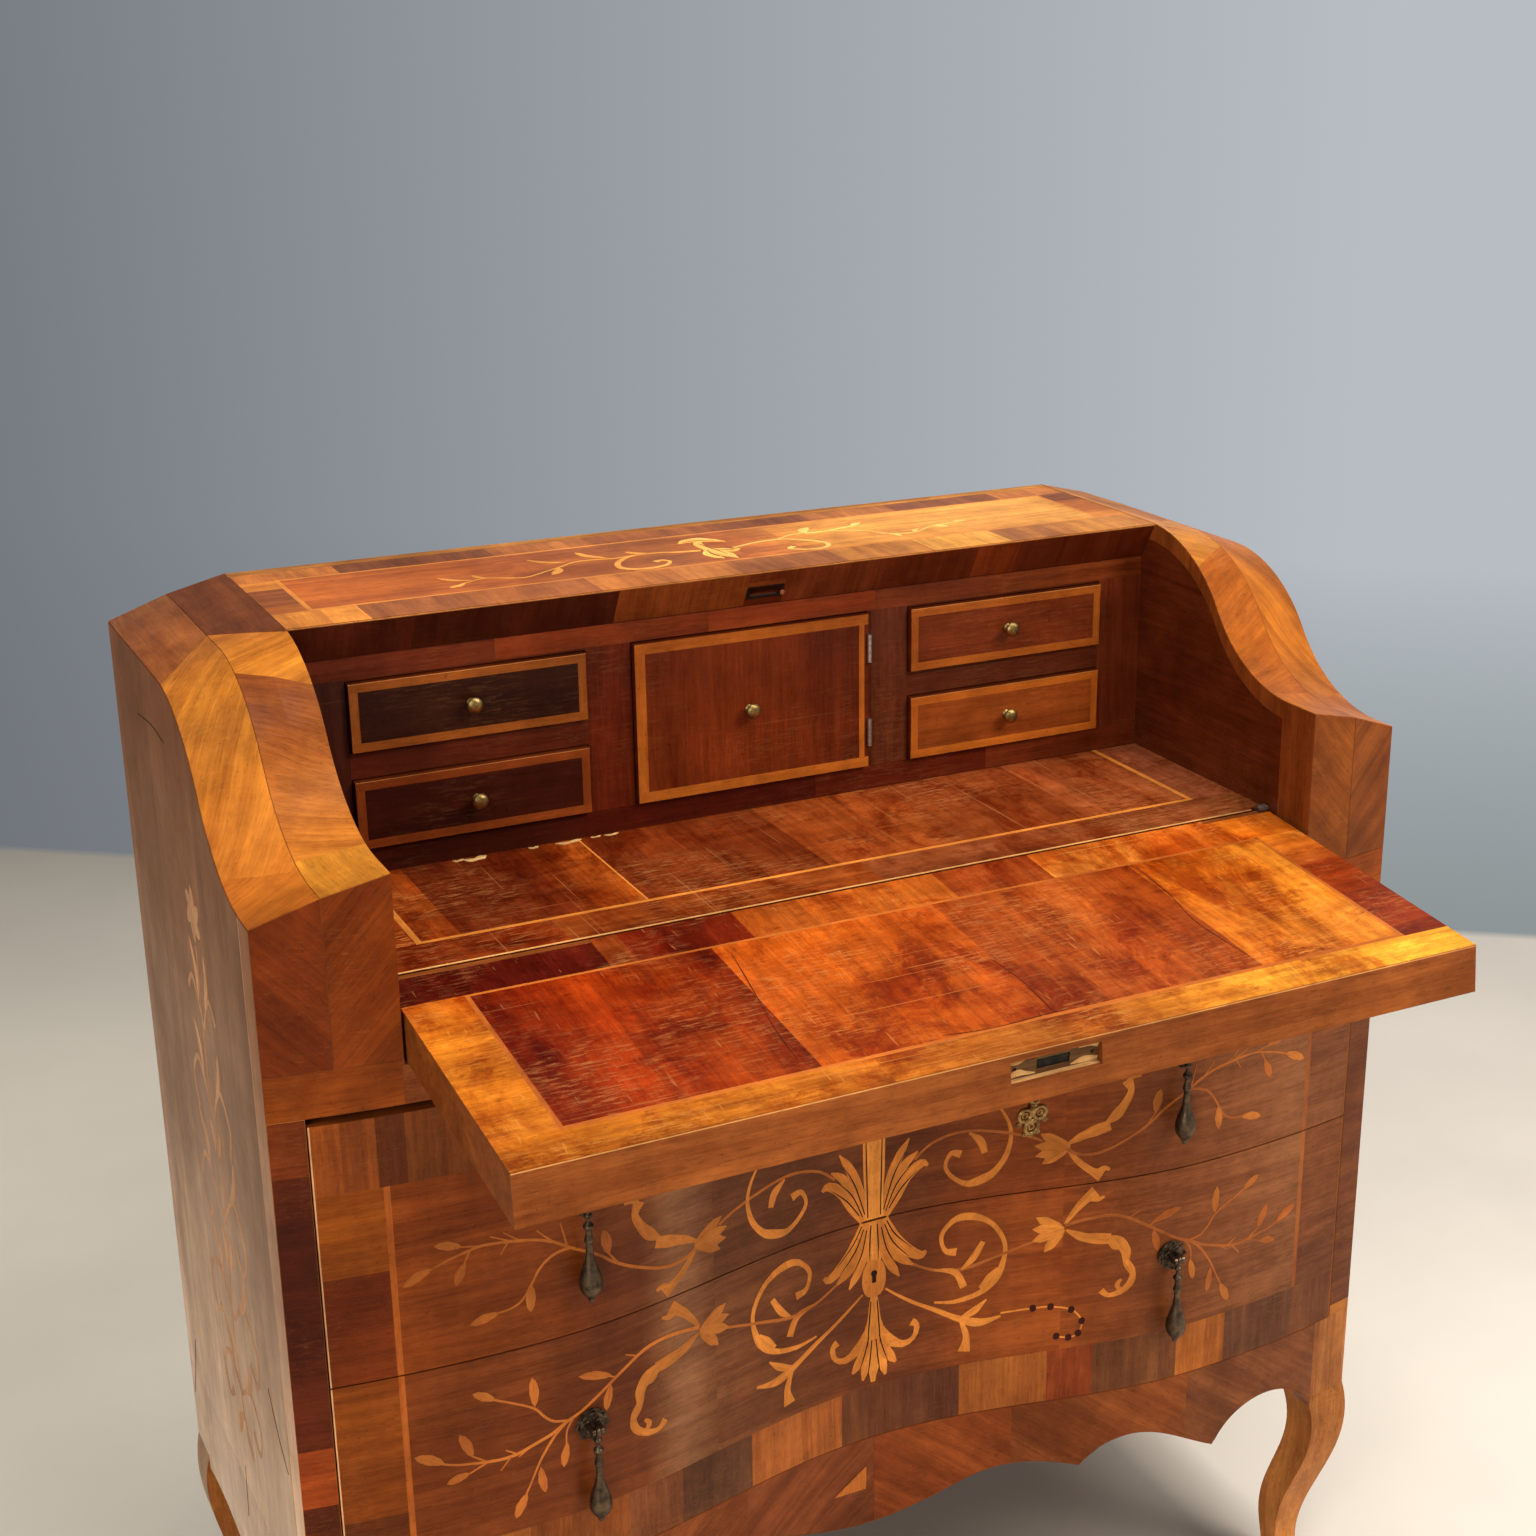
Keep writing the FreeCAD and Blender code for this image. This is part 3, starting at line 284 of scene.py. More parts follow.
class Sheet:
    """Many thin closed plates in one mesh, each with its own tone and direction of grain."""

    def __init__(self, name, body, material, slot="walnut_veneer"):
        self.name, self.body, self.materials, self.slot = name, body, [material], slot
        self.points, self.faces, self.grain, self.tones, self.index = [], [], [], [], []

    def plate(self, surface, rows, tone, angle=0.0, lift=LIFT, sink=SINK, material=None):
        """rows: lists of (u, v) places of equal length; the plate is the net between them."""
        wide, deep = len(rows[0]), len(rows)
        start = len(self.points)
        flat = [spot for row in rows for spot in row]
        top = [surface(u, v, lift) for u, v in flat]
        low = [surface(u, v, lift - sink) for u, v in flat]
        turn = math.radians(angle)
        shift = (random.uniform(0, 9), random.uniform(0, 9))
        uv = []
        for u, v in flat:
            along = u * math.cos(turn) + v * math.sin(turn)
            across = v * math.cos(turn) - u * math.sin(turn)
            uv.append((across * 0.001 + shift[0], along * 0.001 + shift[1]))
        normal = (top[1] - top[0]).cross(top[wide] - top[0])
        flip = normal.dot(top[0] - low[0]) < 0
        self.points += top + low
        under = wide * deep
        quads = []
        for j in range(deep - 1):
            for i in range(wide - 1):
                a = j * wide + i
                quads.append((a, a + 1, a + wide + 1, a + wide))
                quads.append((under + a + wide, under + a + wide + 1, under + a + 1, under + a))
        rim = list(range(wide)) + [j * wide + wide - 1 for j in range(1, deep)]
        rim += [(deep - 1) * wide + i for i in range(wide - 2, -1, -1)]
        rim += [j * wide for j in range(deep - 2, 0, -1)]
        quads += [(a, under + a, under + b, b) for a, b in pairs(rim + rim[:1])]
        change = random.uniform(0.95, 1.05)
        shades = [[value * change for value in linear(tone(u, v) if callable(tone) else tone)] for u, v in flat]
        self.tones += shades + shades
        material = material or self.materials[0]
        if material not in self.materials:
            self.materials.append(material)
        self.index += [self.materials.index(material)] * len(quads)
        for quad in quads:
            order = tuple(reversed(quad)) if flip else quad
            self.faces.append(tuple(start + k for k in order))
            self.grain += [uv[k % under] for k in order]

    def area(self, surface, us, low, high, tone, angle=0.0, rows=1, **more):
        """Plate over the places us, between two edges given as numbers or as functions of u."""
        lines = []
        for j in range(rows + 1):
            line = []
            for u in us:
                a = low(u) if callable(low) else low
                b = high(u) if callable(high) else high
                line.append((u, a + (b - a) * j / rows))
            lines.append(line)
        self.plate(surface, lines, tone, angle, **more)

    def rect(self, surface, u0, u1, v0, v1, tone, angle=0.0, step=400.0, **more):
        """Plate between two places along u, in either order."""
        self.area(surface, spaced(min(u0, u1), max(u0, u1), step), v0, v1, tone, angle, **more)

    def run(self, surface, stops, v0, v1, angle=0.0, **more):
        """Row of plates, each from one stop of (place, tone) to the next."""
        for (u0, tone), (u1, _) in pairs(stops):
            self.rect(surface, u0, u1, v0, v1, tone, angle, **more)

    def stroke(self, surface, points, widths, tone, count=0, lift=INLAY, sink=0.5, material=None):
        """Inlaid piece along a smooth line, with half-widths spread along it."""
        count = count or max(6, 4 * (len(points) - 1))
        line = curve(points, count)
        left, right = [], []
        for i, (u, v) in enumerate(line):
            a, b = line[max(i - 1, 0)], line[min(i + 1, count)]
            du, dv = b[0] - a[0], b[1] - a[1]
            size = math.hypot(du, dv) or 1.0
            half = max(blended(widths, i / count), 0.12)
            left.append((u - dv / size * half, v + du / size * half))
            right.append((u + dv / size * half, v - du / size * half))
        du, dv = line[-1][0] - line[0][0], line[-1][1] - line[0][1]
        lift += random.uniform(0.0, 0.1)
        self.plate(surface, [left, right], tone, math.degrees(math.atan2(dv, du)), lift, sink, material)

    def strokes(self, surface, lines, tone, flipped=list, steps=6, **more):
        """Inlaid pieces of (points, half-widths), with so many steps from point to point, or 0 for the usual count."""
        for points, widths in lines:
            self.stroke(surface, flipped(points), widths, tone, steps * (len(points) - 1), **more)

    def leaf(self, surface, base, tip, half, tone, bend=0.12):
        du, dv = tip[0] - base[0], tip[1] - base[1]
        mid = ((base[0] + tip[0]) / 2 - dv * bend, (base[1] + tip[1]) / 2 + du * bend)
        self.stroke(surface, [base, mid, tip], [0.3, half * 0.7, half, half * 0.75, 0.2], tone, 12)

    def disc(self, surface, u, v, half_u, half_v, tone, lift=INLAY + 0.15, material=None):
        shape = [math.sqrt(max(0.0, 1 - (2 * k / 12 - 1) ** 2)) * half_u for k in range(13)]
        self.stroke(surface, [(u, v + half_v), (u, v), (u, v - half_v)], shape, tone, 12, lift, 0.5, material)

    def make(self):
        mesh = net(self.name, self.points, self.faces, self.materials)
        layer = mesh.uv_layers.new(name="grain")
        layer.data.foreach_set("uv", [value for spot in self.grain for value in spot])
        tone = mesh.attributes.new("tone", "FLOAT_VECTOR", "POINT")
        tone.data.foreach_set("vector", [value for colour in self.tones for value in colour])
        mesh.polygons.foreach_set("material_index", self.index)
        mesh.update()
        piece = added(self.name, mesh)
        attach(piece, self.body)


# Materials

class Graph:
    """Nodes of a material or of the world."""

    def __init__(self, owner):
        owner.use_nodes = True
        self.owner, self.tree = owner, owner.node_tree
        self.tree.nodes.clear()

    def node(self, kind, feeds=(), **settings):
        made = self.tree.nodes.new(kind)
        for name, value in settings.items():
            setattr(made, name, value)
        for key, value in feeds:
            self.feed(made.inputs[key], value)
        return made

    def feed(self, socket, value):
        if isinstance(value, bpy.types.NodeSocket):
            self.tree.links.new(value, socket)
        else:
            socket.default_value = value

    def stretched(self, vector, scale, turn=0.0):
        return self.node("ShaderNodeMapping", ((0, vector), (2, (0, 0, turn)), (3, scale))).outputs[0]

    def noise(self, vector, scale, detail=3.0, rough=0.55, distortion=0.0):
        feeds = (("Vector", vector), ("Scale", scale), ("Detail", detail), ("Roughness", rough),
                 ("Distortion", distortion))
        return self.node("ShaderNodeTexNoise", feeds).outputs[0]

    def ranged(self, value, low, high, to_low=0.0, to_high=1.0):
        feeds = ((0, value), (1, low), (2, high), (3, to_low), (4, to_high))
        return self.node("ShaderNodeMapRange", feeds).outputs[0]

    def sums(self, operation, a, b):
        return self.node("ShaderNodeMath", ((0, a), (1, b)), operation=operation).outputs[0]

    def vectors(self, operation, *values):
        return self.node("ShaderNodeVectorMath", tuple(enumerate(values)), operation=operation).outputs

    def mix(self, share, a, b, blend="MIX"):
        feeds = ((0, share), (6, a), (7, b))
        return self.node("ShaderNodeMix", feeds, data_type="RGBA", blend_type=blend).outputs[2]

    def times(self, colour, factor):
        return self.mix(1.0, colour, factor, "MULTIPLY")

    def tinted(self, share, colour, factor):
        """Colour that takes a factor by a share."""
        return self.mix(share, colour, self.times(colour, factor))

    def rightward(self, way):
        """0 at the left of the photograph's view and 1 at its right."""
        return self.ranged(self.vectors("DOT_PRODUCT", way, (0.8815, -0.4722, 0.0))["Value"], -0.38, 0.20)

    def seen(self):
        """1 for what shows to the camera, in metal and in glass."""
        path = self.node("ShaderNodeLightPath").outputs
        reflected = self.sums("MAXIMUM", path["Is Glossy Ray"], path["Is Transmission Ray"])
        return self.sums("MAXIMUM", path["Is Camera Ray"], reflected)


class Finish(Graph):
    """Material with one main shader."""

    def __init__(self, name):
        super().__init__(bpy.data.materials.new(name))
        self.shader = self.node("ShaderNodeBsdfPrincipled")
        self.out = self.node("ShaderNodeOutputMaterial", ((0, self.shader.outputs[0]),))

    def done(self, colour, rough, bump, strength, **constants):
        self.feed(self.shader.inputs["Base Color"], colour)
        self.feed(self.shader.inputs["Roughness"], rough)
        raised = self.node("ShaderNodeBump", (("Strength", strength), ("Distance", 0.0006), ("Height", bump)))
        self.feed(self.shader.inputs["Normal"], raised.outputs[0])
        for name, value in constants.items():
            self.shader.inputs[name.replace("_", " ").title().replace("Ior", "IOR")].default_value = value
        return self.owner


def wood(name, tone=None, axis=2, rough=0.36, worn=0.0, coat=0.03, contrast=1.0, dust=0.0, stripes=0.0, stain=0.0,
         shine=0.08, faded_and_sheen=None):
    """Figured wood. With no tone, the tone and the grain come from the mesh; else the grain runs along an axis.
    Faces that look left take a paler, greyer tone, where one is given: faded wood with a painted sheen."""
    g = Finish(name)
    body = g.node("ShaderNodeTexCoord").outputs["Object"]

    def cloud(stretch, noise, *limits):
        return g.ranged(g.noise(g.stretched(body, stretch), *noise), *limits)

    if tone is None:
        spot = g.node("ShaderNodeUVMap", uv_map="grain").outputs[0]
        base = g.node("ShaderNodeAttribute", attribute_name="tone").outputs["Color"]
        stretch = (1.0, 0.06, 1.0)
    else:
        spot = body
        rgb = g.node("ShaderNodeRGB")
        rgb.outputs[0].default_value = linear(tone) + (1.0,)
        base = rgb.outputs[0]
        stretch = tuple(0.06 if k == axis else 1.0 for k in range(3))
        # Painted sheen: faces that look left take a paler, greyer tone, which is also faded wood.
        if faded_and_sheen:
            normal = g.node("ShaderNodeNewGeometry").outputs["Normal"]
            facing = g.node("ShaderNodeSeparateXYZ", ((0, normal),)).outputs[0]
            base = g.mix(g.ranged(facing, -0.9, -0.55, 1.0, 0.0), base, linear(faded_and_sheen) + (1.0,))
    along = g.stretched(spot, stretch)
    figure = g.noise(along, 26, 3, 0.55, 0.9)
    streak = g.noise(along, 120, 5, 0.65, 0.3)
    fine = g.noise(along, 460, 3, 0.6)
    patina = g.noise(body, 6.5, 6, 0.66)
    mottle = g.noise(body, 30, 5, 0.62)
    mixed = g.sums("ADD", g.sums("MULTIPLY", figure, 0.42), g.sums("MULTIPLY", streak, 0.36))
    mixed = g.sums("ADD", mixed, g.sums("MULTIPLY", fine, 0.22))
    spread = 0.14 / contrast
    dark = g.times(base, (0.64, 0.50, 0.40, 1))
    light = g.times(base, (1.46, 1.44, 1.25, 1))
    colour = g.mix(g.ranged(mixed, 0.5 - spread, 0.5 + spread), dark, light)
    ridge = g.sums("ABSOLUTE", g.sums("SUBTRACT", figure, 0.5), 0.0)
    colour = g.mix(g.ranged(ridge, 0.0, 0.03, 0.36 * contrast, 0.0), colour, dark)
    if stripes:
        bars = g.noise(g.stretched(spot, (1.0, 0.035, 1.0)), 62, 2, 0.5, 0.5)
        colour = g.mix(g.ranged(bars, 0.44, 0.64, 0.0, stripes), colour, dark)
    pores = g.ranged(g.noise(along, 1500, 2, 0.5), 0.54, 0.66, 0.0, 0.4)
    colour = g.tinted(pores, colour, (0.46, 0.36, 0.30, 1))
    colour = g.times(colour, g.mix(g.ranged(patina, 0.36, 0.64), (0.74, 0.68, 0.62, 1), (1.20, 1.19, 1.14, 1)))
    colour = g.times(colour, g.ranged(mottle, 0.34, 0.66, 0.84, 1.14))
    specks = g.ranged(g.noise(body, 330, 3, 0.6), 0.64, 0.72, 0.0, 0.5)
    colour = g.tinted(specks, colour, (0.3, 0.22, 0.18, 1))
    gloss = g.ranged(patina, 0.3, 0.7, rough + 0.1, rough - 0.08)
    if stain:
        blots = cloud((1.0, 0.45, 1.0), (13, 9, 0.70, 0.7), 0.485, 0.60, 0.0, stain)
        colour = g.tinted(blots, colour, (0.50, 0.24, 0.10, 1))
        rubbed = cloud((0.6, 1.0, 1.0), (52, 12, 0.80, 0.3), 0.49, 0.57, 0.0, 0.8 * stain)
        colour = g.tinted(rubbed, colour, (1.24, 1.50, 1.9, 1))
        smears = cloud((0.5, 1.0, 1.0), (34, 12, 0.78, 0.5), 0.545, 0.60, 0.0, 0.8 * stain)
        colour = g.tinted(smears, colour, (0.56, 0.34, 0.20, 1))
    if worn:
        zone = g.ranged(g.noise(body, 9, 5, 0.62), 0.44, 0.62)
        flake = g.sums("MULTIPLY", cloud((0.14, 1.0, 1.0), (430, 6, 0.74), 0.515, 0.60, 0.0, worn), zone)
        pale = g.mix(0.5, g.times(base, (1.5, 1.6, 1.4, 1)), (0.44, 0.205, 0.065, 1))
        colour = g.mix(flake, colour, pale)
        lines = g.noise(g.stretched(body, (1.0, 0.012, 1.0), 0.5), 420, 1, 0.4)
        other = g.noise(g.stretched(body, (0.012, 1.0, 1.0), 0.3), 380, 1, 0.4)
        scratch = g.ranged(g.sums("MAXIMUM", lines, other), 0.735, 0.76, 0.0, 0.75 * worn)
        colour = g.mix(scratch, colour, pale)
        gloss = g.sums("ADD", gloss, g.sums("MULTIPLY", flake, 0.25))
    if dust:
        film = cloud((1.0, 1.0, 0.4), (12, 7, 0.65), 0.36, 0.68, dust * 0.35, dust)
        colour = g.mix(film, colour, g.times(base, (1.25, 1.35, 1.5, 1)))
    raised = g.sums("SUBTRACT", g.sums("MULTIPLY", fine, 0.5), pores)
    return g.done(colour, gloss, raised, 0.2, coat_weight=coat, coat_roughness=0.16, specular_ior_level=shine)


def metal(name, tone, spots, rough, metallic=1.0):
    g = Finish(name)
    spot = g.node("ShaderNodeTexCoord").outputs["Object"]
    cloud = g.noise(spot, 140, 6, 0.65)
    speck = g.ranged(g.noise(spot, 700, 4, 0.6), 0.54, 0.66)
    colour = g.mix(g.ranged(cloud, 0.38, 0.64), linear(tone) + (1,), linear(spots) + (1,))
    colour = g.mix(g.sums("MULTIPLY", speck, 0.45), colour, (0.03, 0.025, 0.02, 1))
    return g.done(colour, g.ranged(cloud, 0.3, 0.7, rough - 0.1, rough + 0.16), cloud, 0.3, metallic=metallic)


veneer = wood("veneer", worn=0.14)
striped = wood("striped_veneer", worn=0.14, contrast=1.05, stripes=0.4)
worn_veneer = wood("worn_veneer", rough=0.3, worn=0.8, coat=0.02, contrast=1.1, stain=0.85, shine=0.05)
faded_veneer = wood("faded_veneer", rough=0.5, coat=0.02, contrast=0.8, dust=0.5)
inlay = wood("inlay_wood", rough=0.4, contrast=0.6)
dark_inlay = wood("dark_line", rough=0.5, coat=0.0, contrast=0.5)
raw = wood("raw_wood", rough=0.75, coat=0.0, contrast=1.5)
plain = wood("plain_wood", (172, 130, 84), 1, rough=0.7, coat=0.0, contrast=0.8)
brass = metal("aged_brass", (172, 142, 84), (112, 90, 52), 0.38)
key_brass = metal("key_brass", (170, 132, 78), (92, 66, 36), 0.36)
bronze = metal("dark_bronze", (100, 80, 60), (52, 40, 31), 0.36, 0.85)

node_materials = {}
for material, names in (
        (wood("case_walnut", (124, 66, 30), 0), "front_rail top_board upper_drawer_front lower_drawer_front"),
        (wood("upright_walnut", (128, 68, 30), 2), "arm_left arm_right"),
        (wood("leg_walnut", (172, 112, 62), 2, rough=0.42, worn=0.2), "front_leg_right rear_leg_right"),
        # Left legs: left-facing faces take a faded tone with a painted sheen
        (wood("left_leg_walnut", (168, 106, 54), 2, rough=0.45, worn=0.2, faded_and_sheen=(176, 142, 116)),
         "front_leg_left rear_leg_left"),
        (wood("apron_walnut", (122, 64, 30), 0), "front_apron"),
        (wood("red_walnut", (88, 36, 16), 0),
         "fascia_rail writing_bed gallery_frame centre_door upper_left_small_front upper_right_small_front "
         "lower_left_small_front lower_right_small_front"),
        (wood("red_upright", (92, 40, 19), 1, worn=0.15), "cheek_left cheek_right"),
        (wood("side_walnut", (124, 84, 60), 2, rough=0.5, coat=0.02, dust=0.5), "side_panel_left side_panel_right"),
        (wood("fall_walnut", (132, 72, 31), 0, rough=0.44, worn=0.15), "fall_panel"),
        (wood("back_wood", (186, 146, 100), 0, rough=0.75, coat=0.0, contrast=0.8), "back_board"),
        (metal("old_steel", (206, 200, 190), (150, 142, 130), 0.34),
         "pivot_eyes pivot_pins door_hinges_fixed door_hinges_moving"),
        (metal("dark_steel", (44, 38, 32), (26, 22, 18), 0.55, 0.8),
         "strike_plate fall_lock_case fall_lock_bolt lower_drawer_lock_case lower_drawer_lock_bolt"),
        (bronze, "upper_rosettes lower_rosettes")):
    for name in names.split():
        node_materials[name] = material
for name, node in frame["nodes"].items():
    node.data.materials.clear()
    node.data.materials.append(node_materials.get(name, plain))

# Tones
GOLD = (200, 126, 48)
AMBER = (170, 96, 38)
BROWN = (138, 76, 34)
CHESTNUT = (114, 60, 30)
LIGHT = (206, 130, 58)
PALE = (214, 140, 64)
LINE = (178, 98, 40)
INK = (40, 20, 12)


# Long drawers

crossbands = {
    "upper": ((-FRONT_HALF, (138, 70, 24)), (-451, (130, 66, 24)), (-426, (98, 48, 20)), (-405, (110, 58, 24)),
              (-330, (126, 68, 30)), (-262, (146, 82, 36)), (-190, (114, 62, 30)), (-96, (132, 72, 34)),
              (-20, (150, 86, 38)), (66, (118, 64, 32)), (150, (134, 74, 36)), (214, (110, 62, 34)),
              (290, (140, 80, 38)), (352, (118, 66, 36)), (420, (112, 66, 40)), (FRONT_HALF, None)),
    "lower": ((-FRONT_HALF, (120, 66, 30)), (-420, (142, 78, 34)), (-330, (128, 70, 32)), (-245, (108, 62, 36)),
              (-194, (88, 54, 36)), (-124, (146, 82, 38)), (-32, (102, 58, 34)), (25, (90, 50, 32)),
              (81, (150, 86, 38)), (161, (124, 56, 24)), (203, (104, 62, 36)), (286, (156, 90, 38)),
              (339, (102, 64, 44)), (420, (112, 66, 40)), (FRONT_HALF, None))}


def drawer_veneer(row, low, high):
    sheet = Sheet(row + "_drawer_veneer", row + "_drawer", veneer)
    if row == "upper":
        band, split, warm, tones = 672.0, 603.0, 1.0, ((114, 48, 13), (146, 76, 18))
        field, cross = (low, band), (band, high)
    else:
        band, split, warm, tones = 350.0, 392.0, 0.85, ((102, 48, 16), (129, 64, 15))
        field, cross = (band, high), (low, band)
    sheet.run(on_front, crossbands[row], *cross, 90, step=12)
    # Ends of the field, their inlaid lines and a pale strip at the outer edge. The right ends' greyer tones are a
    # painted haze of reflection; the left edge strip is edge wear and a painted highlight.
    for side, ends, line, rim in ((-1, tones, LINE, (214, 164, 124)),
                                  (1, ((114, 68, 42), (120, 70, 40)), (150, 86, 44), (150, 94, 54))):
        for (v0, v1), tone in zip(pairs((field[0], split, field[1])), ends):
            sheet.rect(on_front, side * BAND_IN, side * FRONT_HALF, v0, v1, tone, 0, step=12)
        sheet.rect(on_front, side * FIELD_HALF, side * BAND_IN, *field, line, 90, step=5, material=inlay)
        sheet.rect(on_front, side * (FRONT_HALF - 1.1), side * FRONT_HALF, low, high, rim, 90, step=5, lift=INLAY,
                   material=inlay)
    # Tone across the field: the pale greyish band near x -200 to -182 is a painted sheen, a reflection on the swell,
    # and the greyer tones at the right end are a painted haze of reflection.
    tone = fade(((-418, (136 * warm, 66 * warm, 20)), (-300, (116 * warm, 56 * warm, 20)), (-228, (96, 49, 24)),
                 (-200, (130, 88, 62)), (-182, (132, 90, 65)), (-156, (110, 66, 40)), (-60, (100, 54, 28)),
                 (40, (106, 54, 26)), (90, (130, 65, 25)), (170, (136, 68, 25)), (260, (120, 67, 36)),
                 (418, (130, 83, 54))))
    for x0, x1 in pairs((-FIELD_HALF, -158, 4, 172, FIELD_HALF)):
        sheet.rect(on_front, x0, x1, *field, tone, 0, step=10)
    sheet.make()


drawer_veneer("upper", SPLIT + 0.6, RAIL_LOW - 6.6)
drawer_veneer("lower", APRON + 0.6, SPLIT - 0.6)


# Ornament of the long drawers, right half: points and half-widths; the left half is its mirror image

stems = {
    "upper": [
        ([(38, 561), (53, 573), (75, 579), (96, 578), (118, 573), (140, 566), (152, 560)], [1.2, 1.4, 1.2]),
        ([(173, 550), (184, 543), (204, 542), (230, 552), (249, 563), (261, 573), (272, 580), (286, 588), (298, 596),
          (312, 602), (326, 605), (340, 607), (355, 608), (370, 605), (384, 601), (394, 597)], [1.5, 1.2, 1.3, 0.9]),
        ([(286, 588), (296, 587), (305, 583), (312, 576), (318, 566), (326, 554), (336, 549), (347, 548)], [1.2, 0.9]),
        ([(332, 606), (348, 614)], [0.8, 0.5]), ([(327, 606), (338, 615)], [0.8, 0.5]),
        ([(335, 606), (341, 597)], [0.8, 0.5]), ([(300, 597), (312, 610)], [0.9, 0.5]),
        ([(288, 589), (293, 611)], [0.9, 0.5]), ([(246, 561), (255, 574)], [0.9, 0.8]),
        ([(356, 608), (372, 611)], [0.8, 0.6]), ([(364, 606), (369, 596)], [0.8, 0.6])],
    "lower": [
        ([(36, 461), (57, 450), (83, 446), (108, 452), (123, 456), (150, 464)], [1.2, 1.5, 1.2]),
        ([(174, 475), (203, 479), (226, 476), (249, 463), (266, 452), (282, 442), (296, 436), (309, 429), (324, 424),
          (337, 420), (350, 419), (367, 421), (384, 424), (396, 428)], [1.6, 1.3, 1.4, 0.9]),
        ([(294, 437), (306, 440), (314, 447), (321, 456), (334, 464), (354, 474)], [1.1, 0.9]),
        ([(296, 436), (306, 427), (316, 413), (322, 402), (327, 391), (333, 379)], [1.2, 0.8]),
        ([(290, 438), (296, 428), (297, 415)], [0.9, 0.6]), ([(337, 420), (346, 426)], [0.8, 0.5]),
        ([(342, 419), (351, 409)], [0.8, 0.5]), ([(327, 423), (336, 417)], [0.8, 0.5]),
        ([(233, 473), (243, 478)], [0.8, 0.5]), ([(360, 420), (377, 413)], [0.8, 0.6]),
        ([(362, 421), (373, 429)], [0.8, 0.6]), ([(252, 461), (258, 464)], [0.8, 0.6])]}

scrolls = {
    "upper": [
        ([(112, 600), (121, 584), (124, 569), (120, 551), (110, 537), (99, 531), (85, 529), (72, 538), (66, 549),
          (71, 560), (80, 558)], [1.0, 1.6, 2.6, 4.2, 2.0, 1.6, 3.6]),
        ([(87, 577), (97, 568), (101, 556)], [1.0, 3.6, 2.6])],
    "lower": [
        ([(77, 464), (67, 467), (63, 480), (68, 490), (79, 497), (95, 495), (110, 485), (120, 467), (120, 450),
          (113, 432), (99, 420), (77, 415), (57, 418)], [3.8, 1.8, 2.2, 3.6, 2.2, 1.9, 3.4, 2.4, 1.0]),
        ([(57, 450), (76, 444), (84, 428)], [1.0, 3.0, 3.4]), ([(82, 446), (92, 455), (101, 470)], [1.0, 3.2, 2.4]),
        ([(99, 424), (107, 433), (114, 442)], [2.0, 3.6, 0.8]),
        ([(11, 443), (34, 425), (57, 411), (80, 397), (99, 390), (118, 393)], [1.0, 1.6, 2.4, 4.2, 1.2]),
        ([(80, 397), (93, 402), (105, 412)], [1.4, 3.6, 0.8]), ([(82, 394), (87, 378), (85, 363)], [1.6, 3.0, 5.6])]}

# Base and tips of the petals of a bell
bells = {"upper": ((176, 551), [(150, 567), (145, 556), (146, 546), (152, 538)]),
         "lower": ((173, 471), [(148, 486), (145, 475), (145, 463), (156, 451)])}

ribbons = {
    "upper": [
        ([(174, 554), (187, 560), (200, 564), (212, 567)], [1.2, 4.0, 5.6, 5.0]),
        ([(209, 570), (218, 577), (226, 588), (230, 598), (226, 608)], [2.2, 5.2, 3.8, 3.0, 5.0]),
        ([(174, 549), (184, 536), (195, 526), (206, 519)], [1.2, 2.8, 3.2, 6.0]),
        ([(200, 523), (207, 526), (213, 524)], [1.4, 2.4, 1.4]),
        ([(224, 604), (232, 611), (239, 610)], [1.4, 2.4, 1.2])],
    "lower": [
        ([(174, 476), (182, 487), (190, 496), (201, 504)], [1.2, 3.0, 4.2, 6.2]),
        ([(195, 497), (203, 496), (209, 498)], [1.4, 2.2, 1.2]),
        ([(175, 470), (190, 461), (204, 457), (216, 455)], [1.2, 4.2, 5.4, 5.0]),
        ([(212, 457), (224, 450), (231, 440), (232, 428), (237, 418)], [2.4, 5.6, 4.6, 3.0, 2.4]),
        ([(232, 430), (238, 420), (237, 408), (228, 400), (216, 398), (209, 404)], [2.0, 2.6, 3.6, 3.0, 2.2, 3.0]),
        ([(228, 400), (224, 407), (228, 412)], [1.4, 2.4, 1.4]),
        ([(214, 453), (220, 446), (228, 444)], [1.2, 2.6, 1.2])]}

# Base, tip and half-width
leaves = {
    "upper": [((254, 572), (258, 594), 4.6), ((393, 598), (415, 587), 4.2), ((370, 611), (390, 616), 3.8),
              ((368, 597), (376, 579), 3.8), ((345, 548), (367, 543), 4.0), ((318, 564), (320, 542), 4.0)],
    "lower": [((394, 428), (416, 439), 4.6), ((352, 473), (369, 483), 3.8), ((321, 458), (322, 484), 4.0),
              ((372, 428), (381, 450), 4.2), ((375, 414), (393, 409), 3.6), ((331, 382), (341, 362), 4.2),
              ((319, 402), (316, 378), 3.6), ((296, 417), (300, 396), 3.6), ((257, 456), (262, 434), 3.8),
              ((256, 464), (284, 473), 4.0)]}

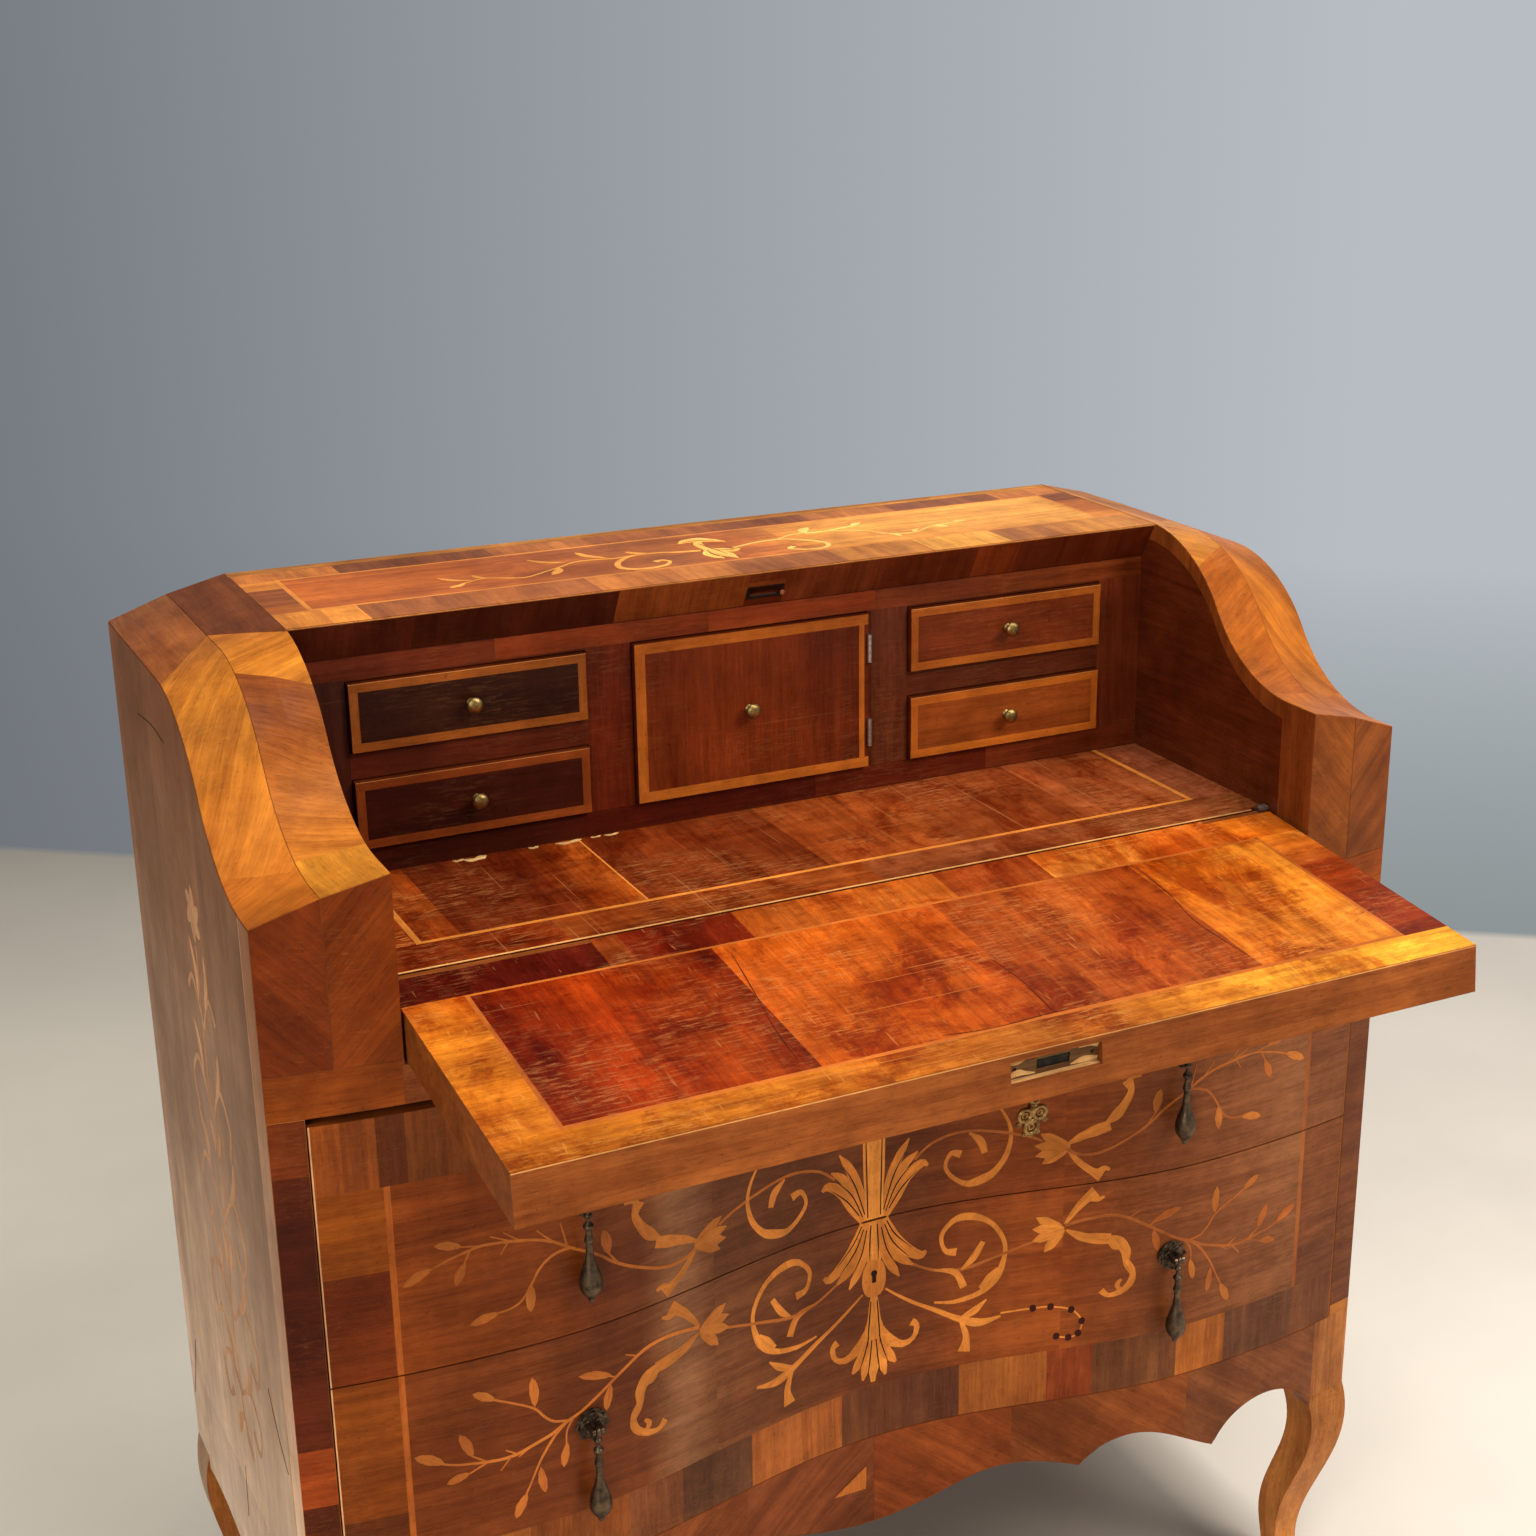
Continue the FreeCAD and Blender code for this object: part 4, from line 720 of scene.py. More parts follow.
palmettes = {
    "upper": [
        ([(0, 513.6), (0, 545), (0, 580), (0, 612)], [9.4, 8.8, 10.2, 10.6, 9.0]),
        ([(11, 513.6), (21, 531), (31, 547), (44, 556), (50, 553)], [3.0, 5.4, 5.2, 4.0, 1.2]),
        ([(9, 514), (18, 536), (28, 557), (41, 568)], [3.0, 5.4, 5.2, 3.6, 0.8]),
        ([(8, 514), (14, 540), (22, 564), (33, 582)], [3.0, 5.2, 5.0, 3.8, 0.6])],
    "lower": [
        ([(0, 511.4), (0, 490), (0, 464)], [9.0, 8.4, 6.0]),
        ([(10, 511.4), (17, 494), (29, 478), (43, 468), (49, 471)], [3.4, 5.6, 5.6, 4.2, 1.4]),
        ([(8, 511), (14, 490), (23, 472), (37, 460)], [3.4, 5.6, 5.6, 4.2, 1.0]),
        ([(5, 511), (9, 488), (15, 468), (24, 452)], [3.4, 5.2, 5.2, 4.2, 0.8]),
        ([(0, 440), (0, 415), (0, 392), (-1, 354)], [3.0, 5.6, 9.5, 7.6, 2.0]),
        ([(4, 406), (13, 393), (27, 384), (38, 388), (41, 399), (36, 404)], [5.0, 5.4, 3.4, 2.2, 2.6, 3.8]),
        ([(4, 400), (11, 382), (21, 368)], [3.8, 5.8, 5.0, 1.4]),
        ([(3, 394), (7, 376), (11, 358)], [3.6, 5.2, 4.2, 1.2])]}

veins = {
    "upper": [[(6, 516), (7, 560), (8, 604)], [(11, 518), (21, 541), (36, 558)], [(9, 520), (18, 549), (29, 570)],
              [(0, 534), (0.4, 560), (0, 600)], [(14, 520), (26, 537), (40, 550)]],
    "lower": [[(3, 508), (4, 490), (4, 474)], [(10, 506), (18, 487), (33, 469)], [(7, 504), (12, 482), (22, 463)],
              [(3, 434), (5, 408), (6, 390)], [(5, 400), (9, 384), (14, 370)], [(2, 396), (4, 376), (6, 362)],
              [(12, 509), (20, 494), (36, 477)]]}


def drawer_inlay(row):
    sheet = Sheet(row + "_drawer_inlay", row + "_drawer", inlay)
    for side, faint, dull in ((1, (166, 96, 46), LIGHT), (-1, (178, 104, 46), (178, 110, 50))):
        flipped = mirrored(side)
        sheet.strokes(on_front, stems[row], faint, flipped, steps=0)
        sheet.strokes(on_front, scrolls[row], LIGHT, flipped)
        sheet.strokes(on_front, ribbons[row], dull, flipped)
        base, tips = bells[row]
        for tip in tips:
            sheet.stroke(on_front, straight(*flipped([base, tip])), [1.6, 4.2, 4.6, 0.5], dull, 8)
        for base, tip, half in leaves[row]:
            tone = random.choice((faint, (178, 108, 48), (166, 94, 44)))
            sheet.leaf(on_front, *flipped([base, tip]), half, tone, 0.02 * side)
        for points, widths in palmettes[row]:
            central = points[0][0] == 0
            if side > 0 or not central:
                sheet.stroke(on_front, flipped(points), widths, PALE if central else LIGHT, 12)
        for points in veins[row]:
            sheet.stroke(on_front, flipped(points), [0.5, 0.6, 0.2], INK, 8, INLAY + 0.12, 0.4, dark_inlay)
    if row == "lower":
        sheet.disc(on_front, 0, 456, 11.5, 18.5, LIGHT, INLAY + 0.06)
        sheet.disc(on_front, 0, KEYHOLE, 2.9, 2.9, INK, INLAY + 0.4, dark_inlay)
        sheet.stroke(on_front, [(0, KEYHOLE), (0, KEYHOLE - 9)], [1.6, 1.9], INK, 4, INLAY + 0.45, 0.5, dark_inlay)
        dots = [(118, 396), (147, 396), (163, 395), (182, 389), (192, 376), (189, 364), (180, 361), (169, 364)]
        sheet.stroke(on_front, dots, [0.9, 0.7], LIGHT)
        for x, z in dots[1:]:
            sheet.disc(on_front, x, z, 3.0, 3.4, (56, 22, 14), material=dark_inlay)
    sheet.make()


drawer_inlay("upper")
drawer_inlay("lower")


# Case: rail, posts, blocks, apron, arms, sides, top, fascia, bed and back

case = Sheet("case_veneer", "case", veneer)


def rail_veneer():
    for side in (-1, 1):
        case.rect(on_front, side * (INNER + 1.7), side * (HALF - 0.4), RAIL_LOW + 0.4, RAIL_TOP - 0.4, (136, 66, 15), 0,
                  step=12)


def post_veneer():
    for side, stops in ((-1, ((APRON + 1, (80, 32, 13)), (412, (142, 62, 21)), (462, (86, 33, 13)), (600, (78, 29, 11)),
                              (690, (112, 50, 17)), (RAIL_LOW - 0.5, None))),
                        (1, ((APRON + 1, (176, 112, 48)), (310, (108, 60, 34)), (470, (102, 56, 32)),
                             (RAIL_LOW - 0.5, None)))):
        for (v0, tone), (v1, _) in pairs(stops):
            case.rect(on_front, side * (POST_IN + 0.3), side * (HALF - 0.3), v0, v1, tone, 0, step=10)


def block_veneer():
    def high(x):
        return BLOCK - arm_drop(x) - 0.3
    for side, outer, inner in ((-1, (111, 47, 12), (127, 58, 14)), (1, (115, 61, 23), (124, 66, 21))):
        for a, b, tone, lean in ((MIDDLE + 0.4, HALF - 0.3, outer, -42), (INNER + 0.3, MIDDLE - 0.4, inner, 42)):
            case.rect(on_block, side * a, side * b, RAIL_TOP + 0.4, high, tone, side * lean + 90, 9, rows=6,
                      material=striped)


def spline(points, x):
    """Height of a smooth line through points at a place, by sampling."""
    line = curve(points, 60)
    for (a, p), (b, q) in pairs(line):
        if a <= x <= b:
            return p + (q - p) * (x - a) / (b - a)
    return line[-1][1]


def arch(x0, z0, x1, z1, x2, z2, x):
    """Height at x of the parabola through three points."""
    return (z0 * (x - x1) * (x - x2) / ((x0 - x1) * (x0 - x2)) + z1 * (x - x0) * (x - x2) / ((x1 - x0) * (x1 - x2))
            + z2 * (x - x0) * (x - x1) / ((x2 - x0) * (x2 - x1)))


CUSP = 194.0                # centre line to the cusp of the apron's edge, and to the start of its end arch
ARCH_IN = 332.6
ARCH_RISE = 37.5
scallop = [(0.0, 88.0), (40.0, 83.2), (70.0, 74.5), (100.0, 64.0), (129.0, 60.0), (160.0, 63.5), (CUSP, 74.0)]
hollow = [(CUSP, 74.0), (222.0, 54.5), (248.0, 51.0), (290.0, 65.0), (ARCH_IN, 88.0)]


def apron_low(x):
    a = abs(x)
    if a <= CUSP:
        return APRON - spline(scallop, a) + 1.2
    if a <= ARCH_IN:
        return APRON - spline(hollow, a) + 1.6
    mid, half = (ARCH_IN + LEG_IN) / 2, (LEG_IN - ARCH_IN) / 2
    radius = (half ** 2 + ARCH_RISE ** 2) / (2 * ARCH_RISE)
    rise = math.sqrt(max(0.0, radius ** 2 - (a - mid) ** 2)) - (radius - ARCH_RISE)
    return APRON - 90.5 + rise + 1.6


def apron_veneer():
    for side, tones in ((-1, ((116, 60, 30), (122, 64, 30), (110, 58, 32))),
                        (1, ((130, 64, 25), (124, 66, 30), (112, 64, 36)))):
        for (a, b), tone in zip(pairs((0.3, 130, 300, LEG_IN - 0.5)), tones):
            case.rect(on_front, side * a, side * b, apron_low, APRON - 0.4, tone, 180 - side * 38, 5, rows=6,
                      material=striped)
    patch = [[(-8.4, 269), (-7.6, 269)], [(-40, 248.5), (-8, 247)]]
    case.plate(on_front, patch, (178, 104, 46), 90, INLAY, 0.5, inlay)


def arm_veneer():
    def slant(at, by, low, high):
        """Joint across an arm, from one place at its low line to another at its high line."""
        return lambda x: at + by * (abs(x) - low) / (high - low)

    def front(x):
        return block_y(x) + 0.3

    rear = BACK - 0.4
    outer_joint, outer_front = slant(240, -55, MIDDLE, HALF), slant(2, 30, MIDDLE, HALF)
    inner_rear, inner_joint, inner_front = (slant(at, by, INNER, MIDDLE) for at, by in ((185, 58), (120, 35), (2, 11)))
    looks = {
        -1: (((outer_joint, rear, fade(((200, (158, 92, 40)), (300, (140, 80, 40)), (392, (118, 70, 40))), 1), 90,
               veneer),
              (outer_front, outer_joint, fade(((0, (178, 104, 38)), (60, (184, 112, 40)), (120, (192, 124, 44)),
                                               (230, (188, 116, 42))), 1), 55, striped),
              (front, outer_front, (174, 100, 34), 20, veneer)),
             ((inner_rear, rear, (114, 60, 27), 90, veneer),
              (inner_joint, inner_rear, fade(((120, (200, 130, 46)), (240, (188, 114, 40))), 1), 8, veneer),
              (inner_front, inner_joint, fade(((0, (188, 116, 43)), (60, (178, 106, 42)), (110, (156, 88, 37)),
                                               (150, (142, 78, 34))), 1), 150, striped),
              (front, inner_front, (190, 126, 44), 96, veneer))),
        1: (((outer_joint, rear, (180, 112, 46), 90, veneer), (outer_front, outer_joint, (164, 96, 31), 125, striped),
             (front, outer_front, (164, 94, 33), 160, veneer)),
            ((inner_rear, rear, (180, 114, 46), 90, veneer), (inner_joint, inner_rear, (184, 120, 44), 172, striped),
             (inner_front, inner_joint, (158, 87, 26), 30, striped),
             (front, inner_front, (172, 100, 34), 84, veneer)))}
    for side, (outer, inner) in looks.items():
        for pieces, a, b in ((outer, MIDDLE + 0.2, HALF - 0.4), (inner, INNER + 0.2, MIDDLE - 0.2)):
            for low, high, tone, turn, material in pieces:
                case.rect(on_cap, side * a, side * b, low, high, tone, turn, 25, rows=36, lift=0.65, sink=1.2,
                          material=material)


def side_low(y):
    front, rear = 1.5, 347
    if y < front or y > rear:
        return 217.0
    middle, quarter = (front + rear) / 2, (rear - front) / 4
    if y < middle:
        return arch(front, 203, middle - quarter, 209, middle, 194, y) + 1.2
    return arch(middle, 194, middle + quarter, 209, rear, 203, y) + 1.2


def side_high(y):
    return ogee(y) - EDGE_DROP - 0.6


def side_veneer():
    joint = 300.0

    # Tone of the left side: greyish faded wood, lighter towards the bottom as a painted reflection of the floor.
    def faded_with_painted_sheen(change):
        stops = ((230, (226, 198, 174)), (420, (190, 157, 132)), (640, (152, 117, 93)), (800, (137, 95, 66)),
                 (980, (128, 79, 47)))
        return fade([(spot, tuple(value * change for value in tone)) for spot, tone in stops], 1)

    def above(y):
        return max(side_low(y), joint)

    for surface, tones, material in ((on_left, (faded_with_painted_sheen(1.12), faded_with_painted_sheen(0.94), faded_with_painted_sheen(0.99), faded_with_painted_sheen(1.04)), faded_veneer),
                                     (on_right, ((156, 92, 44), (120, 66, 36), (126, 70, 38), (146, 84, 42)), veneer)):
        edge, field, middle, rear = tones
        for us, low, high, tone, rows in (
                ([-43.2, -33, -22, -16], joint, side_high, edge, 30), ([-43.2, -30, 1.0], 217, joint - 0.4, field, 4),
                ([-15.6, -13.2], joint, side_high, (182, 140, 104), 24),
                (spaced(-12.8, 118, 6), above, side_high, field, 24),
                (spaced(118.4, 262, 6), above, side_high, middle, 24),
                (spaced(262.4, 372, 6), above, side_high, field, 24),
                (spaced(1.6, 346.8, 6), side_low, joint - 0.4, field, 4),
                ([347.2, 391.4], 217, joint - 0.4, field, 4), ([372.4, 391.4], joint, side_high, rear, 24)):
            case.area(surface, us, low, high, tone, 90, rows=rows, material=material)


def top_veneer():
    near, far, side_in = 237, 348, 372      # edges of the bands
    line = 3.5
    case.run(on_top, ((-BETWEEN, GOLD), (-334, (142, 80, 36)), (-253, (156, 88, 40)), (-141, (174, 104, 44)),
                      (-60, (174, 106, 47)), (-15, (154, 91, 42)), (85, (186, 120, 49)), (170, (206, 145, 60)),
                      (249, (162, 101, 46)), (320, (192, 127, 52)), (BETWEEN, None)), FASCIA_TOP_Y + 0.3, near, 90)
    case.run(on_top, ((-BETWEEN, (184, 110, 46)), (-316, (124, 68, 32)), (-180, (164, 96, 42)), (-90, (146, 82, 36)),
                      (28, (128, 70, 33)), (127, (176, 106, 46)), (216, (132, 72, 33)), (330, (180, 108, 46)),
                      (BETWEEN, None)), far, BOARD_FRONT - 0.3, 90)
    for side, tones in ((-1, (AMBER, BROWN, GOLD)), (1, (GOLD, AMBER, BROWN))):
        for (v0, v1), tone in zip(pairs((near, 262, 318, far)), tones):
            case.rect(on_top, side * side_in, side * BETWEEN, v0, v1, tone, 0)
        case.rect(on_top, side * (side_in - 4), side * side_in, near, far, LIGHT, 90, material=inlay)
    for v0, v1 in ((near, near + line), (far - line, far)):
        case.rect(on_top, 4 - side_in, side_in - 4, v0, v1, LIGHT, 0, material=inlay)
    # Field tone, lighter towards the right end: painted light.
    tone = fade(((-368, (180, 95, 34)), (-190, (166, 88, 36)), (-40, (152, 86, 38)), (16, (172, 92, 38)),
                 (56, (188, 110, 46)), (90, (208, 140, 61)), (368, (218, 155, 71))))
    for x0, x1 in pairs((4 - side_in, -190, 16, 70, side_in - 4)):
        case.rect(on_top, x0, x1, near + line, far - line, tone, 0, step=20)
    case.rect(on_top, -401.0, 401.0, BOARD_FRONT + 0.4, BACK - 0.4, (160, 108, 60), 0, material=raw)


def fascia_veneer():
    left, right = LOCK - 18, LOCK + 18      # strike plate
    high = TOP - 0.6
    stops = ((-BETWEEN, (72, 30, 18)), (-300, (64, 26, 15)), (-127, (126, 66, 30)), (20, (104, 50, 26)),
             (122, (86, 36, 17)), (215, (102, 43, 18)), (259, (90, 37, 18)), (BETWEEN, None))
    for (x0, tone), (x1, _) in pairs(stops):
        for a, b in clear_of(x0, x1, left, right):
            case.rect(on_fascia, a, b, FASCIA_LOW + 0.5, high, tone, 90)
    case.rect(on_fascia, left, right, 1019.0, high, (104, 50, 26), 90)
    case.rect(on_fascia, -BETWEEN, BETWEEN, TOP - 1.3, TOP - 0.3, (196, 138, 82), 0, lift=INLAY, material=inlay)
    case.stroke(on_fascia, [(LOCK + 15, 1004.5), (LOCK + 18.5, 1006)], [1.2, 2.2, 0.8], (206, 152, 120), 6,
                INLAY + 0.4, 0.9, raw)


def bed_veneer():
    edge, near = 401.4, 49                  # outer bands
    line, field = 357, 352                  # line round the field, at its sides
    low, high = 48.5, 53                    # and at its front
    strip, rim = 386, 3.4                   # front band and the line in front of it
    case.rect(on_bed, -edge, -line, near, BED_REAR, (170, 78, 24), 90, material=worn_veneer)
    case.run(on_bed, ((-field, (150, 66, 20)), (-321, (110, 40, 14)),
                      (-222, fade(((-222, (124, 50, 16)), (-170, (168, 80, 23))))), (-167, (116, 47, 17)),
                      (-4, (142, 65, 25)), (120, (127, 57, 24)), (250, (134, 65, 32)), (field, None)),
             high, BED_REAR, 90, step=10, material=worn_veneer)
    case.rect(on_bed, -167.8, -166.2, high, BED_REAR, LIGHT, 90, lift=INLAY, material=inlay)
    for side in (-1, 1):
        case.rect(on_bed, side * field, side * line, near, BED_REAR, LIGHT, 90, material=inlay)
    case.rect(on_bed, -field, field, low, high, LIGHT, 0, material=inlay)
    case.rect(on_bed, line, edge, near, BED_REAR, (138, 72, 46), 90, material=worn_veneer)
    case.run(on_bed, ((-strip, (128, 48, 14)), (-250, (130, 58, 20)), (20, (124, 62, 32)), (strip, None)), rim, low, 0,
             material=worn_veneer)
    for side in (-1, 1):
        case.rect(on_bed, side * strip, side * edge, 7, low, (120, 62, 30), 0, material=worn_veneer)
    case.rect(on_bed, -strip, strip, 1.3, rim, (206, 158, 104), 0, material=inlay)


def back_veneer():
    """Upright planks of the back, with open joints between them."""
    low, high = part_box("back_board")
    left, right, foot, head = low.x * 1000 + 1, high.x * 1000 - 1, low.z * 1000 + 1, high.z * 1000 - 1

    def under_arms(x):
        return min(head, TOP - arm_drop(max(abs(x), INNER)) - 1.5)

    for x0, x1 in pairs([left] + [left + width for width in (168, 352, 506, 690, 834)] + [right]):
        tone = random.choice(((170, 118, 72), (190, 138, 88), (156, 104, 62), (178, 128, 82)))
        case.rect(on_back, x0 + 1.1, x1 - 1.1, foot, under_arms, tone, 90, 60, material=raw)


def chips():
    """Flakes of bare wood along the foot of the gallery."""
    for x, length, deep in ((-273, 10, 3), (-259, 21, 8), (-207, 9, 3), (-176, 24, 5), (-151, 9, 2), (-137, 13, 3)):
        half = length / 2
        points = [(x - half, 207.6 - deep * 0.3), (x - half * 0.3, 207 - deep * 0.7),
                  (x + half * 0.4, 207 - deep * 0.4), (x + half, 207.8 - deep * 0.2)]
        widths = [0.4, deep * 0.45, deep * 0.3, deep * 0.5, 0.3]
        case.stroke(on_bed, points, widths, (226, 190, 138), 12, INLAY + 0.3, 0.8, raw)


for make in (rail_veneer, post_veneer, block_veneer, apron_veneer, arm_veneer, side_veneer, top_veneer, fascia_veneer,
             bed_veneer, back_veneer, chips):
    make()
case.make()


# Ornament of the top and of the sides

def top_inlay():
    """Curled leaf with long flowering stems on the top."""
    sheet = Sheet("top_inlay", "case", inlay)
    for points, widths in (
            ([(-21, 317), (-11, 323), (0, 323), (10, 317), (20, 307)], [0.5, 5.5, 8.5, 5.0, 0.5]),
            ([(-2, 318), (-7, 304), (-6, 290), (0, 278)], [3.0, 4.5, 4.0, 5.0]),
            ([(-10, 289), (-5, 276), (0, 262), (4, 243)], [1.0, 6.0, 7.0, 0.6]),
            ([(-5, 286), (4, 278), (12, 273), (20, 275)], [1.0, 6.5, 5.0, 0.6]),
            ([(-12, 281), (-14, 268), (-11, 257), (-7, 248)], [0.6, 4.0, 3.5, 0.5])):
        sheet.stroke(on_top, points, widths, (240, 190, 104), 16)
    for points in ([(-16, 319), (-2, 320), (12, 313)], [(-5, 306), (-2, 286), (2, 262)],
                   [(-8, 284), (-10, 268), (-8, 256)], [(0, 279), (8, 275), (15, 274)]):
        sheet.stroke(on_top, points, [0.2, 0.8, 0.2], (150, 84, 36), 8, INLAY + 0.2, 0.5)
    bright = (244, 202, 122)
    sheet.strokes(on_top, (
        ([(16, 281), (38, 289), (52, 292), (65, 293), (83, 303), (99, 305)], [1.8, 1.5, 1.3, 1.2]),
        ([(97, 303), (116, 302), (135, 307), (151, 312)], [1.4, 1.1, 1.0]),
        ([(52, 292), (67, 292), (81, 283), (93, 270), (97, 255), (86, 244), (70, 246), (59, 255), (66, 261)],
         [1.2, 2.2, 2.2, 1.6, 2.6]),
        ([(120, 303), (149, 290), (164, 268), (188, 262), (214, 277), (242, 281)], [1.0, 0.9, 0.7])), bright, steps=5)
    sheet.strokes(on_top, (
        ([(-14, 284), (-34, 288), (-52, 294), (-72, 294), (-90, 291), (-111, 295), (-128, 294), (-145, 283),
          (-162, 273), (-184, 262), (-209, 273), (-221, 273), (-241, 262)], [2.0, 1.7, 1.4, 1.1, 0.8]),
        ([(-72, 294), (-85, 286), (-96, 273), (-100, 257), (-92, 247), (-77, 244), (-62, 248), (-54, 258), (-58, 266),
          (-66, 263)], [1.2, 2.6, 2.9, 2.0, 1.6, 3.0])), (230, 166, 84), steps=5)
    for base, tip, half in (
            ((97, 304), (110, 323), 5), ((149, 310), (162, 319), 3.6), ((164, 268), (170, 254), 3),
            ((214, 277), (226, 268), 3), ((240, 281), (254, 284), 3), ((188, 262), (198, 273), 3),
            ((-97, 296), (-115, 327), 4), ((-58, 295), (-75, 310), 3.4), ((-147, 281), (-160, 261), 4.4),
            ((-135, 297), (-162, 321), 2.8), ((-212, 274), (-221, 289), 2.8), ((-226, 273), (-250, 293), 2.4),
            ((-234, 267), (-250, 257), 2.6)):
        sheet.leaf(on_top, base, tip, half, (230, 164, 82) if base[0] < 0 else bright)
    sheet.make()


def side_inlay(name, surface, material, tone, leaf_tone, cracks=()):
    """Tall bunch of leaves, scrolls and ribbons on a side."""
    sheet = Sheet(name, "case", material)
    centre, flower = 150.0, 826
    sheet.stroke(surface, [(centre, 372), (centre + 8, 470), (centre - 8, 580), (centre + 6, 690), (centre, 800)],
                 [1.6, 2.2, 1.6, 1.2], tone, 40)
    for hand in (1, -1):
        flipped = mirrored(hand, centre)
        sheet.strokes(surface, (
            ([(0, 400), (34, 420), (62, 400), (52, 372), (34, 384)], [1.6, 2.8, 2.2, 2.0, 4.2]),
            ([(0, 470), (40, 500), (78, 480), (70, 446), (48, 456)], [1.6, 3.0, 2.4, 2.0, 4.0]),
            ([(0, 560), (46, 600), (74, 566), (56, 540), (40, 556)], [1.6, 3.0, 2.4, 2.0, 3.8]),
            ([(0, 650), (34, 690), (62, 668), (52, 640)], [1.4, 2.8, 2.2, 3.4]),
            ([(0, 730), (26, 764), (46, 750)], [1.2, 2.4, 3.0])), tone, flipped)
        for base, tip, half in (((20, 412), (44, 452), 6), ((24, 490), (58, 540), 6.5), ((30, 590), (60, 640), 6),
                                ((20, 680), (40, 724), 5), ((10, 750), (24, 800), 5), ((0, 380), (24, 348), 6),
                                ((6, 520), (16, 552), 4.5), ((6, 620), (14, 648), 4.5)):
            sheet.leaf(surface, *flipped([base, tip]), half, leaf_tone)
    for k in range(6):
        turn = math.radians(60 * k + 30)
        tip = (centre + 24 * math.cos(turn), flower + 24 * math.sin(turn))
        sheet.leaf(surface, (centre, flower), tip, 7, leaf_tone)
    for points in cracks:
        sheet.stroke(surface, points, [0.2, 0.5, 0.4, 0.2], (84, 54, 38), 12, INLAY + 0.1, 0.4, dark_inlay)
    sheet.make()


top_inlay()
side_inlay("side_inlay_left", on_left, faded_veneer, (182, 134, 98), (190, 140, 100),
           ([(352, 338), (366, 300), (384, 264)], [(40, 470), (18, 440), (-6, 420)],
            [(178, 262), (174, 290), (170, 318)], [(296, 946), (240, 952), (196, 950)]))
side_inlay("side_inlay_right", on_right, inlay, (196, 124, 60), (208, 136, 66))


# Fall

def fall_veneer():
    sheet = Sheet("fall_veneer", "fall", worn_veneer)
    near, far = 48, 244                     # edges of the bands on the inner face
    line = 352                              # line round its field
    rear = ((-FALL_EDGE, (74, 15, 7)), (-238, (120, 50, 16)), (-216, (116, 33, 11)), (-120, (156, 74, 22)),
            (-20, (172, 86, 26)), (60, (144, 61, 21)), (151, (186, 106, 38)), (240, (190, 96, 28)),
            (328, (196, 100, 22)), (FALL_EDGE, None))
    for (x0, tone), (x1, _) in pairs(rear):
        pivot = FALL_EDGE in (-x0, x1)
        sheet.rect(on_fall, x0, x1, 7.5 if pivot else 2.0, near, tone, 90)
    sheet.rect(on_fall, -line, line, near, near + 3, LINE, 0, material=inlay)
    for x0, x1, rows, stops in (
            (-FALL_EDGE, -line, 12, ((near, (186, 99, 25)), (120, (198, 118, 31)), (200, (190, 108, 27)),
                                     (far, (186, 110, 33)))),
            (line + 4, FALL_EDGE, 12, ((near, (206, 116, 34)), (106, (154, 67, 20)))),
            (line + 4, FALL_EDGE, 8, ((106, (142, 52, 13)), (far, (112, 36, 10))))):
        sheet.area(on_fall, [x0, x1], stops[0][0], stops[-1][0], fade(stops, 1), 0, rows=rows)
    left, right = 3.5 - line, line + 0.5    # field
    for x0, x1 in ((-line, left), (right, line + 4)):
        sheet.rect(on_fall, x0, x1, near + 3, far, LINE, 90, material=inlay)
    for x0, x1, stops in (
            (left, -158, ((-348, (112, 29, 5)), (-270, (146, 47, 7)), (-200, (154, 58, 9)), (-158, (120, 36, 7)))),
            (-158, 33, ((-158, (174, 76, 15)), (-60, (176, 80, 17)), (33, (156, 65, 15)))),
            (33, 220, ((33, (136, 55, 16)), (120, (160, 74, 24)), (220, (146, 62, 16)))),
            (220, right, ((220, (190, 100, 24)), (352, (204, 122, 36))))):
        sheet.rect(on_fall, x0, x1, near + 3, far - 4, fade(stops), 90, step=12)
    sheet.rect(on_fall, left, right, far - 4, far, LINE, 0, material=inlay)
    tone = fade(((-398, (178, 101, 24)), (-250, (176, 99, 24)), (-120, (180, 101, 28)), (20, (160, 87, 27)),
                 (60, (158, 82, 24)), (110, (196, 118, 36)), (250, (218, 147, 43)), (398, (228, 160, 48))))
    for x0, x1 in pairs((-FALL_EDGE, -120, 38, 250, FALL_EDGE)):
        sheet.rect(on_fall, x0, x1, far, FALL_LENGTH - 0.4, tone, 0, step=12)
    for points in ([(-147, 62), (-156, 120), (-166, 180), (-170, 226)], [(225, 58), (222, 110), (214, 160), (219, 222)],
                   [(31, 150), (35, 190), (32, 238)], [(-60, 236), (-20, 241), (36, 238)]):
        sheet.stroke(on_fall, points, [0.15, 0.5, 0.3, 0.6, 0.15], (84, 34, 14), 14, LIFT + 0.1, 0.4, dark_inlay)
    sheet.rect(fall_edge, -FALL_EDGE, FALL_EDGE, 0.2, 1.1, (206, 150, 92), 0, lift=0.2, sink=0.4, material=inlay)
    outer_face(sheet)
    sheet.make()


